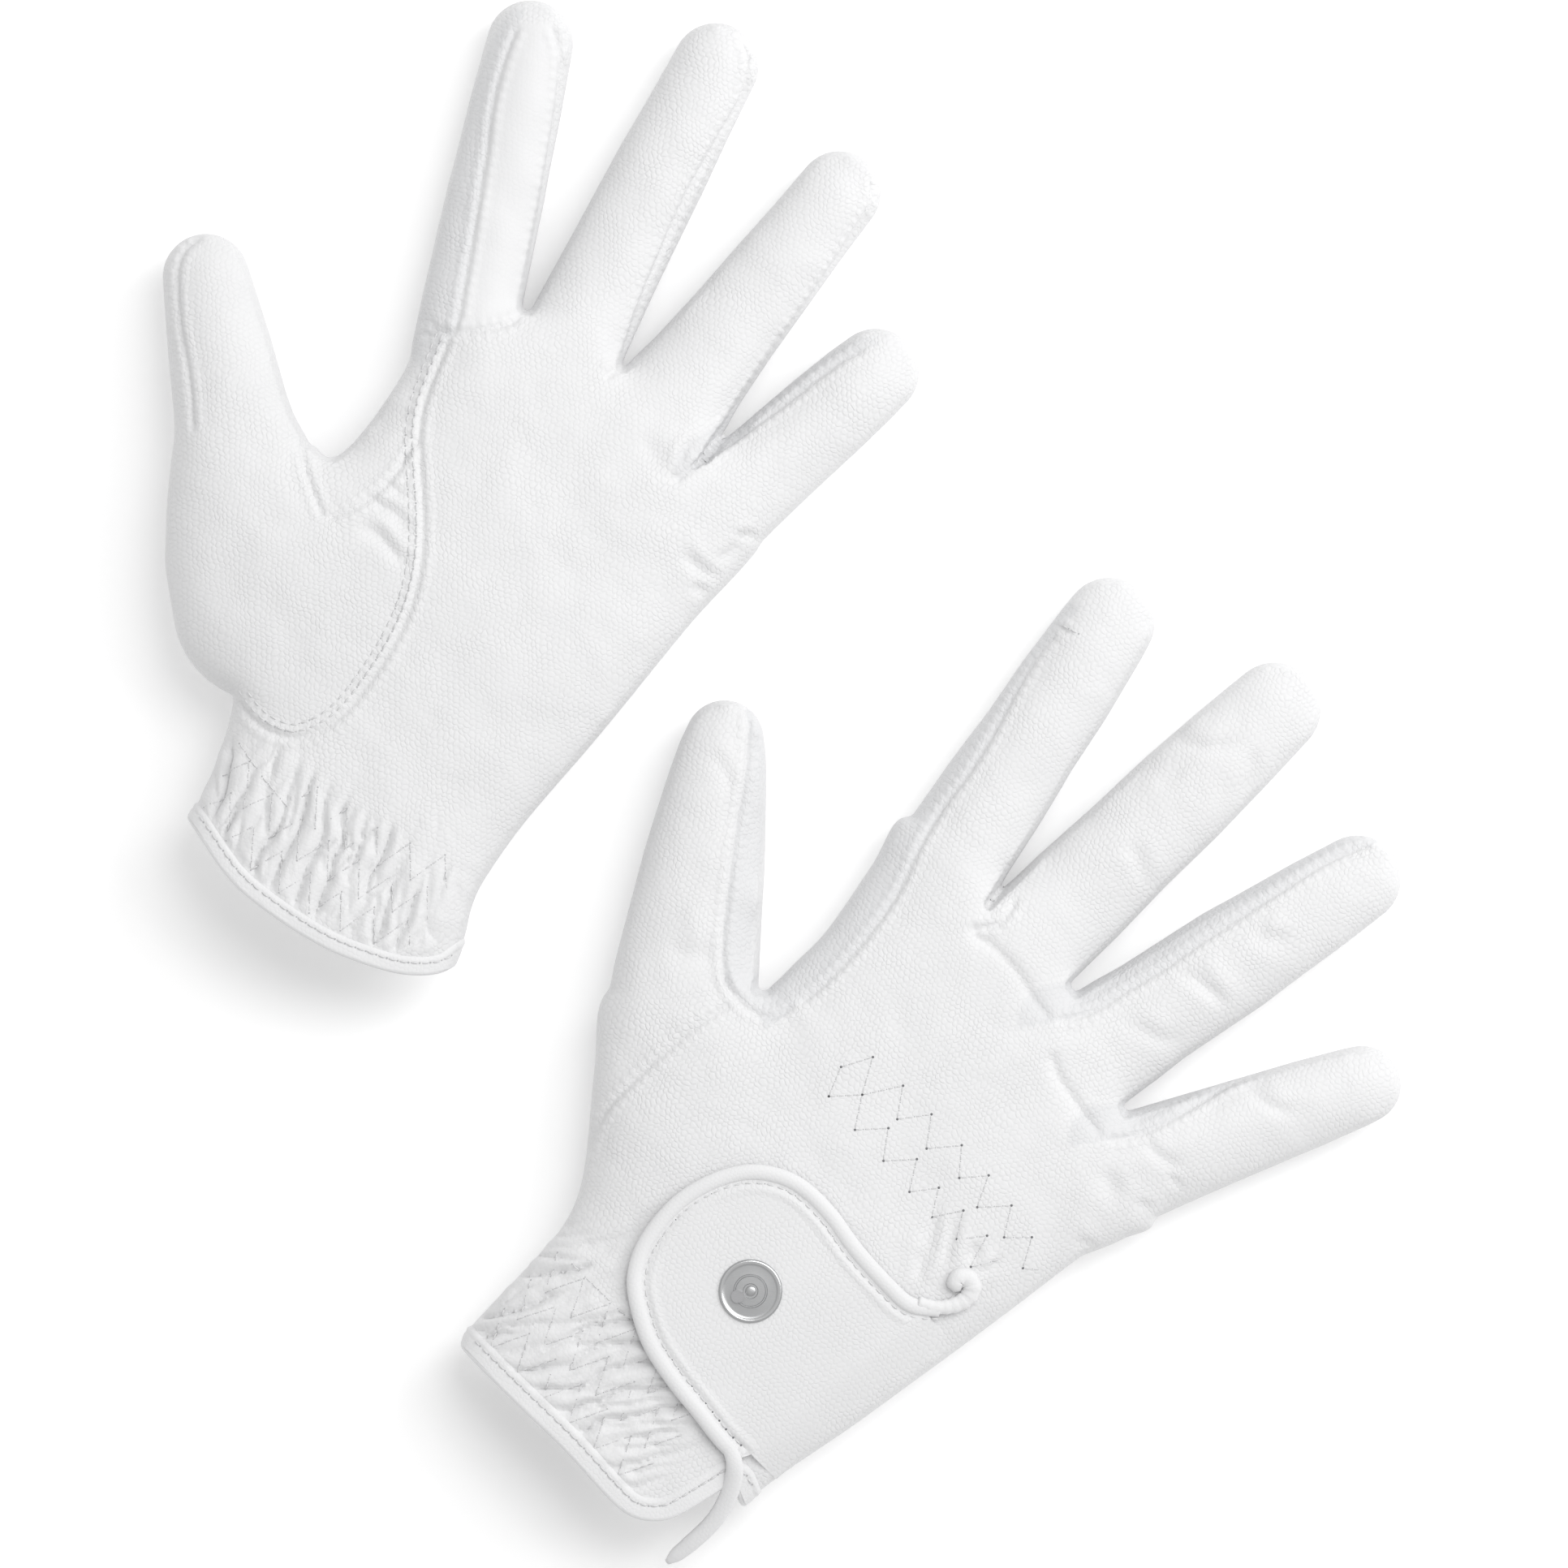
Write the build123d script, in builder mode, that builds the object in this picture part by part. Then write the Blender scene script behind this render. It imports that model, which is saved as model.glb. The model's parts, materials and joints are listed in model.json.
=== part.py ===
"""A pair of riding gloves, built as sewn gloves are: panels, fourchettes, elastics, bindings and a wrist tab.

Each glove is drawn in its own pattern frame: +X points to the little-finger side, +Y to the fingertips and +Z to the
back of the hand, with the origin at the middle of the cuff's edge. The right glove lies palm down. The left glove is
a mirror image, lies palm up and rests on its tab, its badge and its knuckles. The part's frame has +Z up, the floor
at Z = 0 and its origin in the middle of the pair. All sizes are in millimetres.
"""

import os
from math import cos, hypot, radians, sin

from build123d import *

# Driving dimensions
WALL = 1.0  # one layer of the synthetic leather
HAND_DEPTH = 28.0  # palm to back of the filled hand
KNUCKLE_DEPTH = 24.0  # palm to back where the fingers begin
CORNER = 0.42  # corner radius of a tube's section, as a share of its depth
FINGER_ROOT_DEPTH = 22.0
FINGER_END_DEPTH = 17.0
THUMB_ROOT_DEPTH = 24.0
BACK_SEAM = 8.0  # depth below the back of the seam between back panel and palm panel
PALM_SEAM = 6.0  # height above the palm of the palm panel's fold
FINGER_SEAM = 5.5  # the same two seams on the fingers, from the side that lies flat and 6 mm further in
WALL_HEIGHT = 6.0
GAP = 0.3  # free space between neighbouring bodies
HINGE_SHARE = 0.28  # height of a knuckle's axis above the palm side, as a share of the finger's depth
MIDDLE_BEND = 63.0  # degrees
END_BEND = MIDDLE_BEND * 2 / 3
THUMB_BEND = 60.0
TAB_SWING = 150.0
BEND_SPARE = 4.0  # degrees of clearance left at full bend
BINDING = 1.2  # thickness of the folded binding round the cuff
BINDING_WIDTH = 5.0
ELASTIC = 0.8
PATCH = 1.0  # thickness of one half of the touch fastener
PATCH_SIZE = (24.0, 28.0)
TAB_THICKNESS = 1.6
PIPING_RADIUS = 1.3
ANCHOR_WIDTH = 6.0  # sewn strip that holds the tab's root
VENT_WIDTH = 3.0
BADGE_RADIUS = 7.8
BADGE_HEIGHT = 1.2
POST_RADIUS = 1.6

# The stack on the back of the hand: loop patch, a gap, hook patch, tab, badge.
HOOK_LOW = HAND_DEPTH + PATCH + GAP
TAB_LOW = HOOK_LOW + PATCH
TAB_HIGH = TAB_LOW + TAB_THICKNESS
BADGE_HIGH = TAB_HIGH + BADGE_HEIGHT

# Hand stations are (distance from the cuff, thumb side, little-finger side). Fingers and thumb are (root x, root y,
# tip x, tip y, root width, end width), a finger's root being level with its crotches.
GLOVES = {
    "right": {
        "palm_up": False,
        "cuff": (-55.0, -158.8),
        "heading": 45.6,
        "hand": [(0, -34, 37), (20, -34, 42), (38, -36, 46), (75, -38, 55), (142, -42, 68)],
        "fingers": {
            "index": (-29.9, 163.2, -43.5, 247.5, 28.0, 23.0),
            "long": (0.0, 165.6, 1.6, 261.0, 29.0, 23.5),
            "ring": (30.3, 159.2, 47.6, 245.0, 29.0, 22.5),
            "little": (57.3, 146.2, 85.5, 207.5, 26.5, 20.0),
        },
        "thumb": (-50.9, 95.6, -95.5, 157.5, 36.0, 21.0),
        "crotches": [(-15.9, 165.8), (14.0, 165.8), (44.7, 153.0)],
        "web": [(-40.0, 96.0), (-57.0, 119.0), (-48.0, 116.0), (-41.9, 136.0)],
        "thenar": [(-40, 134), (-26, 112), (-15, 88), (-8, 62), (-16, 42), (-34, 34)],
        "tab_centre": (8.0, 54.5),
        "tab_root": [(36.5, 25.5), (41.5, 84.5)],
        "tab_radius": 27.5,
        "back_elastic": (24.0, 110.0, 62.0, 20.0),
        "tail": 6.5,
    },
    "left": {
        "palm_up": True,
        "cuff": (-113.6, -26.8),
        "heading": 60.6,
        "hand": [(0, -36, 34), (18, -37, 34), (34, -42, 36), (75, -44, 43), (124, -47, 52)],
        "fingers": {
            "index": (-39.0, 144.2, -62.2, 217.3, 25.5, 21.0),
            "long": (-12.1, 147.8, -15.8, 235.7, 27.0, 21.5),
            "ring": (15.9, 141.5, 27.6, 222.0, 27.5, 21.0),
            "little": (40.7, 132.4, 60.0, 189.0, 25.0, 21.5),
        },
        "thumb": (-53.7, 63.9, -106.0, 126.5, 34.0, 22.0),
        "crotches": [(-26.7, 148.4), (1.5, 147.3), (28.5, 136.1)],
        "web": [(-44.0, 72.0), (-62.0, 92.0), (-52.5, 90.0), (-46.2, 108.0)],
        "thenar": [(-43, 112), (-29, 96), (-20, 74), (-15, 52), (-22, 36), (-38, 30)],
        "tab_centre": (4.0, 45.0),
        "tab_root": [(27.5, 19.0), (31.0, 71.0)],
        "tab_radius": 24.5,
        "back_elastic": (14.0, 97.0, 54.0, 18.0),
        "tail": 0.0,
    },
}
# Shares of a finger's length, from its root, at which its two knuckles sit. The thumb has one.
KNUCKLES = (0.36, 0.67)
THUMB_KNUCKLE = 0.55
UP = (0, 0, 1)
BOTTOM_MIN = (Align.CENTER, Align.CENTER, Align.MIN)


def levels(name, share, depth):
    """Lowest and highest z of a section that deep, share of the way from the wrist (0) to the knuckles (1)."""
    if GLOVES[name]["palm_up"]:
        high = HAND_DEPTH + (BADGE_HIGH - HAND_DEPTH) * share
        return high - depth, high
    return 0.0, depth


def line_of(row):
    """Origin, unit direction and length of a finger row."""
    x0, y0, x1, y1 = row[:4]
    length = hypot(x1 - x0, y1 - y0)
    return (x0, y0), ((x1 - x0) / length, (y1 - y0) / length), length


def cross_plane(origin, direction, distance=0.0):
    """Upright plane across a tube, with its sketch x up and its sketch y towards the little-finger side."""
    at = (origin[0] + direction[0] * distance, origin[1] + direction[1] * distance, 0)
    return Plane(origin=at, x_dir=UP, z_dir=(direction[0], direction[1], 0))


def shell(origin, direction, stations, outer=0.0, inner=WALL, closed=False):
    """Tube wall between two insets from its stations, each (distance, left, right, low, high)."""
    with BuildPart() as tube:
        for inset in (outer,) if inner is None else (outer, inner):
            for i, (distance, left, right, low, high) in enumerate(stations):
                end = closed and i == len(stations) - 1
                depth, width = high - low - 2 * inset, right - left - 2 * inset
                with BuildSketch(cross_plane(origin, direction, distance - (inset if end else 0.0))):
                    with Locations(((low + high) / 2, (left + right) / 2)):
                        RectangleRounded(depth, width, (high - low) * CORNER - inset)
            loft(ruled=True, mode=Mode.ADD if inset == outer else Mode.SUBTRACT)
    return tube.part


def hand_stations(name):
    made = []
    last = GLOVES[name]["hand"][-1][0]
    for distance, left, right in GLOVES[name]["hand"]:
        share = max(0.0, (distance - 75) / (last - 75))
        depth = HAND_DEPTH + (KNUCKLE_DEPTH - HAND_DEPTH) * share
        made.append((distance, left, right, *levels(name, share, depth)))
    return made


def finger_levels(name, row, distance, root_depth=FINGER_ROOT_DEPTH):
    """Lowest and highest z of a finger's or the thumb's tube at a distance from its root."""
    along = max(0.0, distance / line_of(row)[2])
    share = 1.0 if root_depth == FINGER_ROOT_DEPTH else 0.35 + 0.65 * along
    return levels(name, share, root_depth + (FINGER_END_DEPTH - root_depth) * along)


def finger_stations(name, row, back, root_depth=FINGER_ROOT_DEPTH):
    """Sections of a finger with a domed end. back is how far its tube reaches behind its root."""
    length = line_of(row)[2]
    root, end = row[4] / 2, row[5] / 2
    made = []
    for share, full in ((-back / length, 1), (0.4, 1), (0.8, 1), (0.92, 0.84), (0.98, 0.60), (1.0, 0.36)):
        half = root + (end - root) * min(1.0, max(0.0, share) / 0.8)
        low, high = finger_levels(name, row, share * length, root_depth)
        middle, rise = (low + high) / 2, (high - low) / 2 * full
        made.append((share * length, -half * full, half * full, middle - rise, middle + rise))
    return made


def finger_tube(name, row, back, root_depth=FINGER_ROOT_DEPTH, inner=WALL):
    origin, direction, _ = line_of(row)
    return shell(origin, direction, finger_stations(name, row, back, root_depth), inner=inner, closed=True)


def hinge_of(name, row, share, root_depth=FINGER_ROOT_DEPTH):
    """Point on a knuckle's axis, in the pattern frame."""
    origin, direction, length = line_of(row)
    distance = share * length
    low, high = finger_levels(name, row, distance, root_depth)
    z = low + HINGE_SHARE * (high - low)
    return origin[0] + direction[0] * distance, origin[1] + direction[1] * distance, z


def cut(part, *planes):
    """The part of a solid ahead of every plane, each given as (point, normal)."""
    with BuildPart() as kept:
        add(part)
        for point, normal in planes:
            split(bisect_by=Plane(origin=point, z_dir=normal), keep=Keep.TOP)
    return kept.part


def knuckle_cut(part, name, row, share, bend, side, root_depth=FINGER_ROOT_DEPTH):
    """Trims part to one side of a knuckle: side 1 keeps the fingertip side, -1 the hand side.

    The slanted cut leaves a notch on the palm side, so that the finger can bend about the knuckle's axis."""
    x, y, z = hinge_of(name, row, share, root_depth)
    dx, dy = (side * c for c in line_of(row)[1])
    half = radians((bend + BEND_SPARE) / 2)
    lift = GAP / 2
    slope = (dx * cos(half), dy * cos(half), sin(half))
    slanted = tuple(c + s * lift for c, s in zip((x, y, z), slope))
    return cut(part, ((x + dx * lift, y + dy * lift, z), (dx, dy, 0)), (slanted, slope))


def strips(part, low, high):
    """A tube cut along its seams into back skin, palm skin and side walls."""
    back = cut(part, ((0, 0, high), UP))
    palm = cut(part, ((0, 0, low), (0, 0, -1)))
    sides = cut(part, ((0, 0, low), UP), ((0, 0, high), (0, 0, -1)))
    return back, palm, sides


def finger_seams(name):
    if GLOVES[name]["palm_up"]:
        return BADGE_HIGH - FINGER_SEAM - WALL_HEIGHT, BADGE_HIGH - FINGER_SEAM
    return FINGER_SEAM, FINGER_SEAM + WALL_HEIGHT


def under_seam(name, from_palm):
    """Block that fills everything below a seam of the hand.

    The seam runs that far above the palm or, if negative, below the back.
    """
    with BuildPart() as made:
        with BuildSketch(Plane.YZ):
            with BuildLine():
                level = 3 if from_palm > 0 else 4
                seam = [(s[0], s[level] + from_palm) for s in hand_stations(name)]
                seam = [(-20, seam[0][1]), *seam[1:], (seam[-1][0] + 20, seam[-1][1])]
                Polyline(*seam, (seam[-1][0], -30), (-20, -30), close=True)
            make_face()
        extrude(amount=120, both=True)
    return made.part


def between_neighbours(part, name, index):
    """Trims a finger tube to its own side of the planes through the crotches beside it."""
    rows = list(GLOVES[name]["fingers"].values())
    for i, crotch in enumerate(GLOVES[name]["crotches"]):
        if index in (i, i + 1):
            a, b = line_of(rows[i])[1], line_of(rows[i + 1])[1]
            side = -1 if index == i else 1
            part = cut(part, ((*crotch, 0), (side * (a[1] + b[1]), -side * (a[0] + b[0]), 0)))
    return part


def block(x, y, low, high):
    """Box between two x values, two y values and two heights."""
    with BuildPart() as made:
        with Locations(((x[0] + x[1]) / 2, (y[0] + y[1]) / 2, low)):
            Box(x[1] - x[0], y[1] - y[0], high - low, align=BOTTOM_MIN)
    return made.part


def combine(part, other, mode):
    with BuildPart() as made:
        add(part)
        add(other, mode=mode)
    return made.part


def thenar_block(name, low, high):
    """Upright block over the ball of the thumb, whose curved side is the thumb panel's seam."""
    points = GLOVES[name]["thenar"]
    with BuildPart() as made:
        with BuildSketch(Plane.XY.offset(low)):
            with BuildLine():
                Spline(*points)
                far = -90
                Polyline(points[-1], (far, points[-1][1]), (far, points[0][1]), points[0])
            make_face()
        extrude(amount=high - low)
    return made.part


def tab_plate(name, low, thickness, inset=0.0):
    """Flat piece in the tab's outline: a round free end that runs to a sewn root."""
    cx, cy = GLOVES[name]["tab_centre"]
    (x0, y0), (x1, y1) = GLOVES[name]["tab_root"]
    radius = GLOVES[name]["tab_radius"] - inset
    ends = [(cx + radius * cos(radians(a)), cy + radius * sin(radians(a))) for a in (-78, 78)]
    with BuildPart() as made:
        with BuildSketch(Plane.XY.offset(low)):
            with BuildLine():
                ThreePointArc(ends[0], (cx - radius, cy), ends[1])
                Polyline(ends[1], (x1, y1 - inset), (x0, y0 + inset), ends[0])
            make_face()
        extrude(amount=thickness)
    return made.part


def closure(name):
    """The wrist tab, its piping, its anchor, the touch fastener and the badge."""
    data = GLOVES[name]
    cx, cy = data["tab_centre"]
    (x0, y0), (x1, y1) = data["tab_root"]
    length = hypot(x1 - x0, y1 - y0)
    across = ((y1 - y0) / length, (x0 - x1) / length, 0)
    tab_side = tuple(-c for c in across)
    root = (x0, y0, 0)
    patch_x = (cx - 3 - PATCH_SIZE[0] / 2, cx - 3 + PATCH_SIZE[0] / 2)
    patch_y = (cy - PATCH_SIZE[1] / 2, cy + PATCH_SIZE[1] / 2)
    middle = (TAB_LOW + TAB_HIGH) / 2
    with BuildPart() as tab:
        add(tab_plate(name, TAB_LOW, TAB_THICKNESS, PIPING_RADIUS * 1.6))
        with Locations((cx, cy, TAB_LOW)):
            Cylinder(POST_RADIUS, TAB_THICKNESS, align=BOTTOM_MIN, mode=Mode.SUBTRACT)
    with BuildPart() as piping:
        add(tab_plate(name, middle - PIPING_RADIUS, 2 * PIPING_RADIUS))
        add(tab_plate(name, middle - PIPING_RADIUS, 2 * PIPING_RADIUS, PIPING_RADIUS * 1.6), mode=Mode.SUBTRACT)
        split(bisect_by=Plane(origin=root, z_dir=tab_side).offset(PIPING_RADIUS * 1.6), keep=Keep.TOP)
    with BuildPart() as anchor:
        with BuildSketch(Plane.XY.offset(HAND_DEPTH)):
            with BuildLine():
                near, far = ([(x + across[0] * d, y + across[1] * d) for x, y in ((x0, y0), (x1, y1))]
                             for d in (GAP, ANCHOR_WIDTH))
                tail = [(far[0][0], -data["tail"]), (near[0][0], -data["tail"])] if data["tail"] else []
                Polyline(*near, far[1], far[0], *tail, close=True)
            make_face()
        extrude(amount=TAB_HIGH - HAND_DEPTH)
    hook = block(patch_x, patch_y, HOOK_LOW, TAB_LOW)
    with BuildPart() as hook_patch:
        add(hook)
        with Locations((cx, cy, HOOK_LOW)):
            Cylinder(BADGE_RADIUS * 0.6, PATCH, align=BOTTOM_MIN, mode=Mode.SUBTRACT)
    with BuildPart() as badge:
        with BuildSketch(Plane.XY.offset(TAB_HIGH)):
            with Locations((cx, cy)):
                Circle(BADGE_RADIUS)
        extrude(amount=BADGE_HEIGHT)
        chamfer(badge.edges().group_by(Axis.Z)[-1], BADGE_HEIGHT * 0.4)
        with BuildSketch(Plane.XY.offset(BADGE_HIGH)):
            with Locations((cx, cy)):
                Circle(BADGE_RADIUS - 1.4)
        extrude(amount=-0.3, mode=Mode.SUBTRACT)
    with BuildPart() as post:
        with Locations((cx, cy, TAB_LOW)):
            Cylinder(POST_RADIUS, TAB_THICKNESS, align=BOTTOM_MIN)
        with Locations((cx, cy, TAB_LOW - PATCH / 2)):
            Cylinder(BADGE_RADIUS * 0.5, PATCH / 2, align=BOTTOM_MIN)
    return {
        "closure_tab": [tab.part], "tab_piping": [piping.part], "tab_anchor": [anchor.part],
        "hook_patch": [hook_patch.part], "loop_patch": [block(patch_x, patch_y, HAND_DEPTH, HAND_DEPTH + PATCH)],
        "badge_cap": [badge.part], "badge_post": [post.part],
    }


def binding_ring(name, vent):
    """Folded binding round the cuff's edge, outside and inside the hand tube."""
    first, second = hand_stations(name)[:2]
    share = BINDING_WIDTH / second[0]
    far = [a + (b - a) * share for a, b in zip(first, second)]
    near = [-BINDING, *first[1:]]
    outer = shell((0, 0), (0, 1), [near, far], outer=-BINDING, inner=WALL + BINDING)
    lining = shell((0, 0), (0, 1), [first, far], outer=0.0, inner=WALL)
    ring = combine(combine(outer, lining, Mode.SUBTRACT), vent, Mode.SUBTRACT)
    return cut(ring, ((0, 0, first[3]), UP))


def glove(name):
    """Every piece of one glove as {piece: list of parts}, in the pattern frame."""
    data = GLOVES[name]
    rows = data["fingers"]
    knuckle_y = data["hand"][-1][0]
    low_seam, high_seam = finger_seams(name)
    pieces = closure(name)
    thumb = data["thumb"]

    # The hand tube, with the vent under the tab and the thumb's hole, cut into back panel, palm panel and thenar.
    vent_x = data["tab_root"][0][0] - VENT_WIDTH - 2
    vent_top = data["tab_root"][1][1] + 2
    vent = block((vent_x, vent_x + VENT_WIDTH), (-5, vent_top), HAND_DEPTH - BACK_SEAM, HAND_DEPTH + 3)
    thumb_solid = finger_tube(name, thumb, 46, THUMB_ROOT_DEPTH, inner=None)
    wall_a, wall_b = [(s[1], s[0]) for s in data["hand"][-2:]]
    wall_normal = (wall_a[1] - wall_b[1], wall_b[0] - wall_a[0], 0)
    hand = combine(shell((0, 0), (0, 1), hand_stations(name)), vent, Mode.SUBTRACT)
    under_back, under_wall = under_seam(name, -BACK_SEAM), under_seam(name, PALM_SEAM)
    back = combine(hand, under_back, Mode.SUBTRACT)
    floor = combine(hand, under_wall, Mode.INTERSECT)
    walls = combine(combine(hand, under_back, Mode.INTERSECT), under_wall, Mode.SUBTRACT)
    walls = combine(walls, thumb_solid, Mode.SUBTRACT)
    thenar = thenar_block(name, -1, BADGE_HIGH)
    ball = combine(floor, thenar, Mode.INTERSECT)
    floor = combine(floor, thenar, Mode.SUBTRACT)
    pieces["back_panel"] = [back]
    pieces["palm_panel"] = [floor, walls]
    binding = binding_ring(name, vent)
    pieces["cuff_binding"] = [binding]
    pieces["tab_anchor"] = [combine(pieces["tab_anchor"][0], binding, Mode.SUBTRACT)]

    # The thumb: its base is one panel with the ball of the thumb, its end bends at the knuckle.
    hand_solid = shell((0, 0), (0, 1), hand_stations(name), inner=None)
    tube = combine(finger_tube(name, thumb, 46, THUMB_ROOT_DEPTH), hand_solid, Mode.SUBTRACT)
    tube = cut(tube, ((*wall_a, 0), wall_normal))
    base = knuckle_cut(tube, name, thumb, THUMB_KNUCKLE, THUMB_BEND, -1, THUMB_ROOT_DEPTH)
    tip = knuckle_cut(tube, name, thumb, THUMB_KNUCKLE, THUMB_BEND, 1, THUMB_ROOT_DEPTH)
    pieces["thumb_panel"] = [ball, base]
    pieces["thumb_tip"] = [tip]
    with BuildPart() as gusset:
        with BuildSketch(Plane.XY.offset(low_seam)):
            with BuildLine():
                Polyline(*data["web"], close=True)
            make_face()
        extrude(amount=high_seam - low_seam)
        add(thumb_solid, mode=Mode.SUBTRACT)
        add(hand_solid, mode=Mode.SUBTRACT)
    pieces["thumb_gusset"] = [gusset.part]

    # Elastics sewn inside the wrist and under the back.
    inner_skin = shell((0, 0), (0, 1), hand_stations(name), outer=WALL, inner=WALL + ELASTIC)
    ex, ey, width, height = data["back_elastic"]
    strip = block((ex - width / 2, ex + width / 2), (ey - height / 2, ey + height / 2), HAND_DEPTH * 0.6, 60)
    pieces["knuckle_elastic"] = [combine(inner_skin, strip, Mode.INTERSECT)]
    band = block((-90, 90), (BINDING_WIDTH + 3, BINDING_WIDTH + 15), -5, PALM_SEAM + 4)
    pieces["wrist_elastic"] = [combine(inner_skin, band, Mode.INTERSECT)]
    rim = 2.5
    sides = block((vent_x - rim, vent_x + VENT_WIDTH + rim), (BINDING_WIDTH + 3, vent_top + rim),
                  HAND_DEPTH - BACK_SEAM, 60)
    pieces["vent_binding"] = [combine(combine(inner_skin, sides, Mode.INTERSECT), vent, Mode.SUBTRACT)]

    # Finger roots belong to the hand: back and palm skins to the panels, their facing sides to the fourchettes.
    walls = []
    for i, (finger, row) in enumerate(rows.items()):
        tube = finger_tube(name, row, back=28)
        root = cut(between_neighbours(tube, name, i), ((0, knuckle_y, 0), (0, 1, 0)))
        root = knuckle_cut(root, name, row, KNUCKLES[0], MIDDLE_BEND, -1)
        back, palm, side = strips(root, low_seam, high_seam)
        pieces["back_panel"].append(back)
        pieces["grip_panel" if finger == "index" else "palm_panel"] = (
            [palm] if finger == "index" else pieces["palm_panel"] + [palm])
        walls += sorted(side.solids(), key=lambda s: s.center().X)
        middle = knuckle_cut(tube, name, row, KNUCKLES[0], MIDDLE_BEND, 1)
        middle = knuckle_cut(middle, name, row, KNUCKLES[1], END_BEND, -1)
        tip = knuckle_cut(tube, name, row, KNUCKLES[1], END_BEND, 1)
        pieces[f"{finger}_mid"] = list(strips(middle, low_seam, high_seam))
        pieces[f"{finger}_tip"] = list(strips(tip, low_seam, high_seam))
    # Outer walls are folds of the back and palm panels; each pair of facing walls is one fourchette.
    pieces["back_panel"].append(walls[0])
    pieces["palm_panel"].append(walls[-1])
    for number, start in enumerate((1, 3, 5), 1):
        pieces[f"fourchette_{number}"] = walls[start:start + 2]
    return pieces


def to_row(name, part, shift=(0, 0)):
    """A pattern-frame part moved to where its glove lies."""
    data = GLOVES[name]
    if data["palm_up"]:
        part = Pos(0, 0, BADGE_HIGH) * mirror(part, about=Plane.XY)
    x, y = data["cuff"]
    return Pos(x + shift[0], y + shift[1], 0) * Rot(0, 0, data["heading"] - 90) * part


made = {}
for glove_name in GLOVES:
    for piece, parts in glove(glove_name).items():
        solids = [solid for part in parts for solid in part.solids()]
        made[f"{glove_name}_{piece}"] = [to_row(glove_name, solid) for solid in solids]
everything = Compound(children=[solid for solids in made.values() for solid in solids]).bounding_box()
middle = Pos(-everything.center().X, -everything.center().Y, -everything.min.Z)

os.makedirs("parts", exist_ok=True)
for label, solids in made.items():
    node = Compound(label=label, children=[middle * solid for solid in solids])
    export_step(node, f"parts/{label}.step")

# Driving points for the record: each knuckle's axis, the tab's root and the middle of the pair.
for glove_name, data in GLOVES.items():
    turn = radians(data["heading"] - 90)
    flip = -1 if data["palm_up"] else 1

    def point(x, y, z):
        px = data["cuff"][0] + x * cos(turn) - y * sin(turn) + middle.position.X
        py = data["cuff"][1] + x * sin(turn) + y * cos(turn) + middle.position.Y
        return [round(v, 3) for v in (px, py, (BADGE_HIGH - z if flip < 0 else z) + middle.position.Z)]

    def axis(x, y):
        """A turning direction. Mirroring a glove turns it the other way round."""
        return [round(flip * v, 5) for v in (x * cos(turn) - y * sin(turn), x * sin(turn) + y * cos(turn), 0)]

    for finger, row in data["fingers"].items():
        dx, dy = line_of(row)[1]
        for share, bend in zip(KNUCKLES, (MIDDLE_BEND, END_BEND)):
            print(glove_name, finger, point(*hinge_of(glove_name, row, share)), axis(-dy, dx), bend)
    row = data["thumb"]
    dx, dy = line_of(row)[1]
    at = hinge_of(glove_name, row, THUMB_KNUCKLE, THUMB_ROOT_DEPTH)
    print(glove_name, "thumb", point(*at), axis(-dy, dx), THUMB_BEND)
    (x0, y0), (x1, y1) = data["tab_root"]
    length = hypot(x1 - x0, y1 - y0)
    print(glove_name, "tab", point(x0, y0, TAB_HIGH), axis((x1 - x0) / length, (y1 - y0) / length), TAB_SWING)
print("shift", list(middle.position), "size", everything.size)
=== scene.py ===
"""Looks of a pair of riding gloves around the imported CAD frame.

Each glove's skin is grown from its plan outline. A screened Poisson field u over the outline gives the
filled height sqrt(2u), thin along the fingers and level over the palm. The skin is meshed, carved with
seams, creases and gathers, cut at the cuff and at the fingers' segments, and then dressed with bindings,
stitches, a tab and a badge.

Plan points are in millimetres, +X right and +Y up from the middle of the pair. Each list runs the way the
seam or edge is sewn. Heights are millimetres above the floor.
"""

import json
import math

import bpy
import numpy as np
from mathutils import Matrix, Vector
from mathutils.geometry import delaunay_2d_cdt


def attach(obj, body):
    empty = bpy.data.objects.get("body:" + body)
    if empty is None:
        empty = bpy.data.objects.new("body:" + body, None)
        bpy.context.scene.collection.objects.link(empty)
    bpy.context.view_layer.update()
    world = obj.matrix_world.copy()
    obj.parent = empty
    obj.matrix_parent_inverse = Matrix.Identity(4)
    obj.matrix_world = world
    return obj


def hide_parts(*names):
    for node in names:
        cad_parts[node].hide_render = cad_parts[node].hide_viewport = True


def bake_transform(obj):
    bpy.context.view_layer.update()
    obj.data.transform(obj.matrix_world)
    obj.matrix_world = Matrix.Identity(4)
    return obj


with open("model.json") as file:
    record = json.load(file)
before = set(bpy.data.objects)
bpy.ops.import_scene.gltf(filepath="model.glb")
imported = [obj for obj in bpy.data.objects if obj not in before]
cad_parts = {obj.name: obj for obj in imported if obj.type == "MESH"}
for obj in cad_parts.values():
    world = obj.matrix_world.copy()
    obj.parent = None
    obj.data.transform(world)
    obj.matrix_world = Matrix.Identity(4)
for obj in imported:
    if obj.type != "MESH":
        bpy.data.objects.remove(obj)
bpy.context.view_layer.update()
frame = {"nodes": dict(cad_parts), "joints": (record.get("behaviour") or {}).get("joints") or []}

MM = 0.001
PLAN_CELL = 0.5  # spacing of the plan fields
VOXEL = 1.3  # spacing of the surface net
# Below the first height a glove flattens towards the second, against the floor.
REST_FROM, REST_GAP = 3.0, 0.2
ROUNDING = 9.9  # how far from an edge the filled skin levels out
TRUSTED_DEPTH, TRUST_BLEND = 1.2, 1.6  # nearer to an edge, u is carried outwards from these depths

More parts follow.
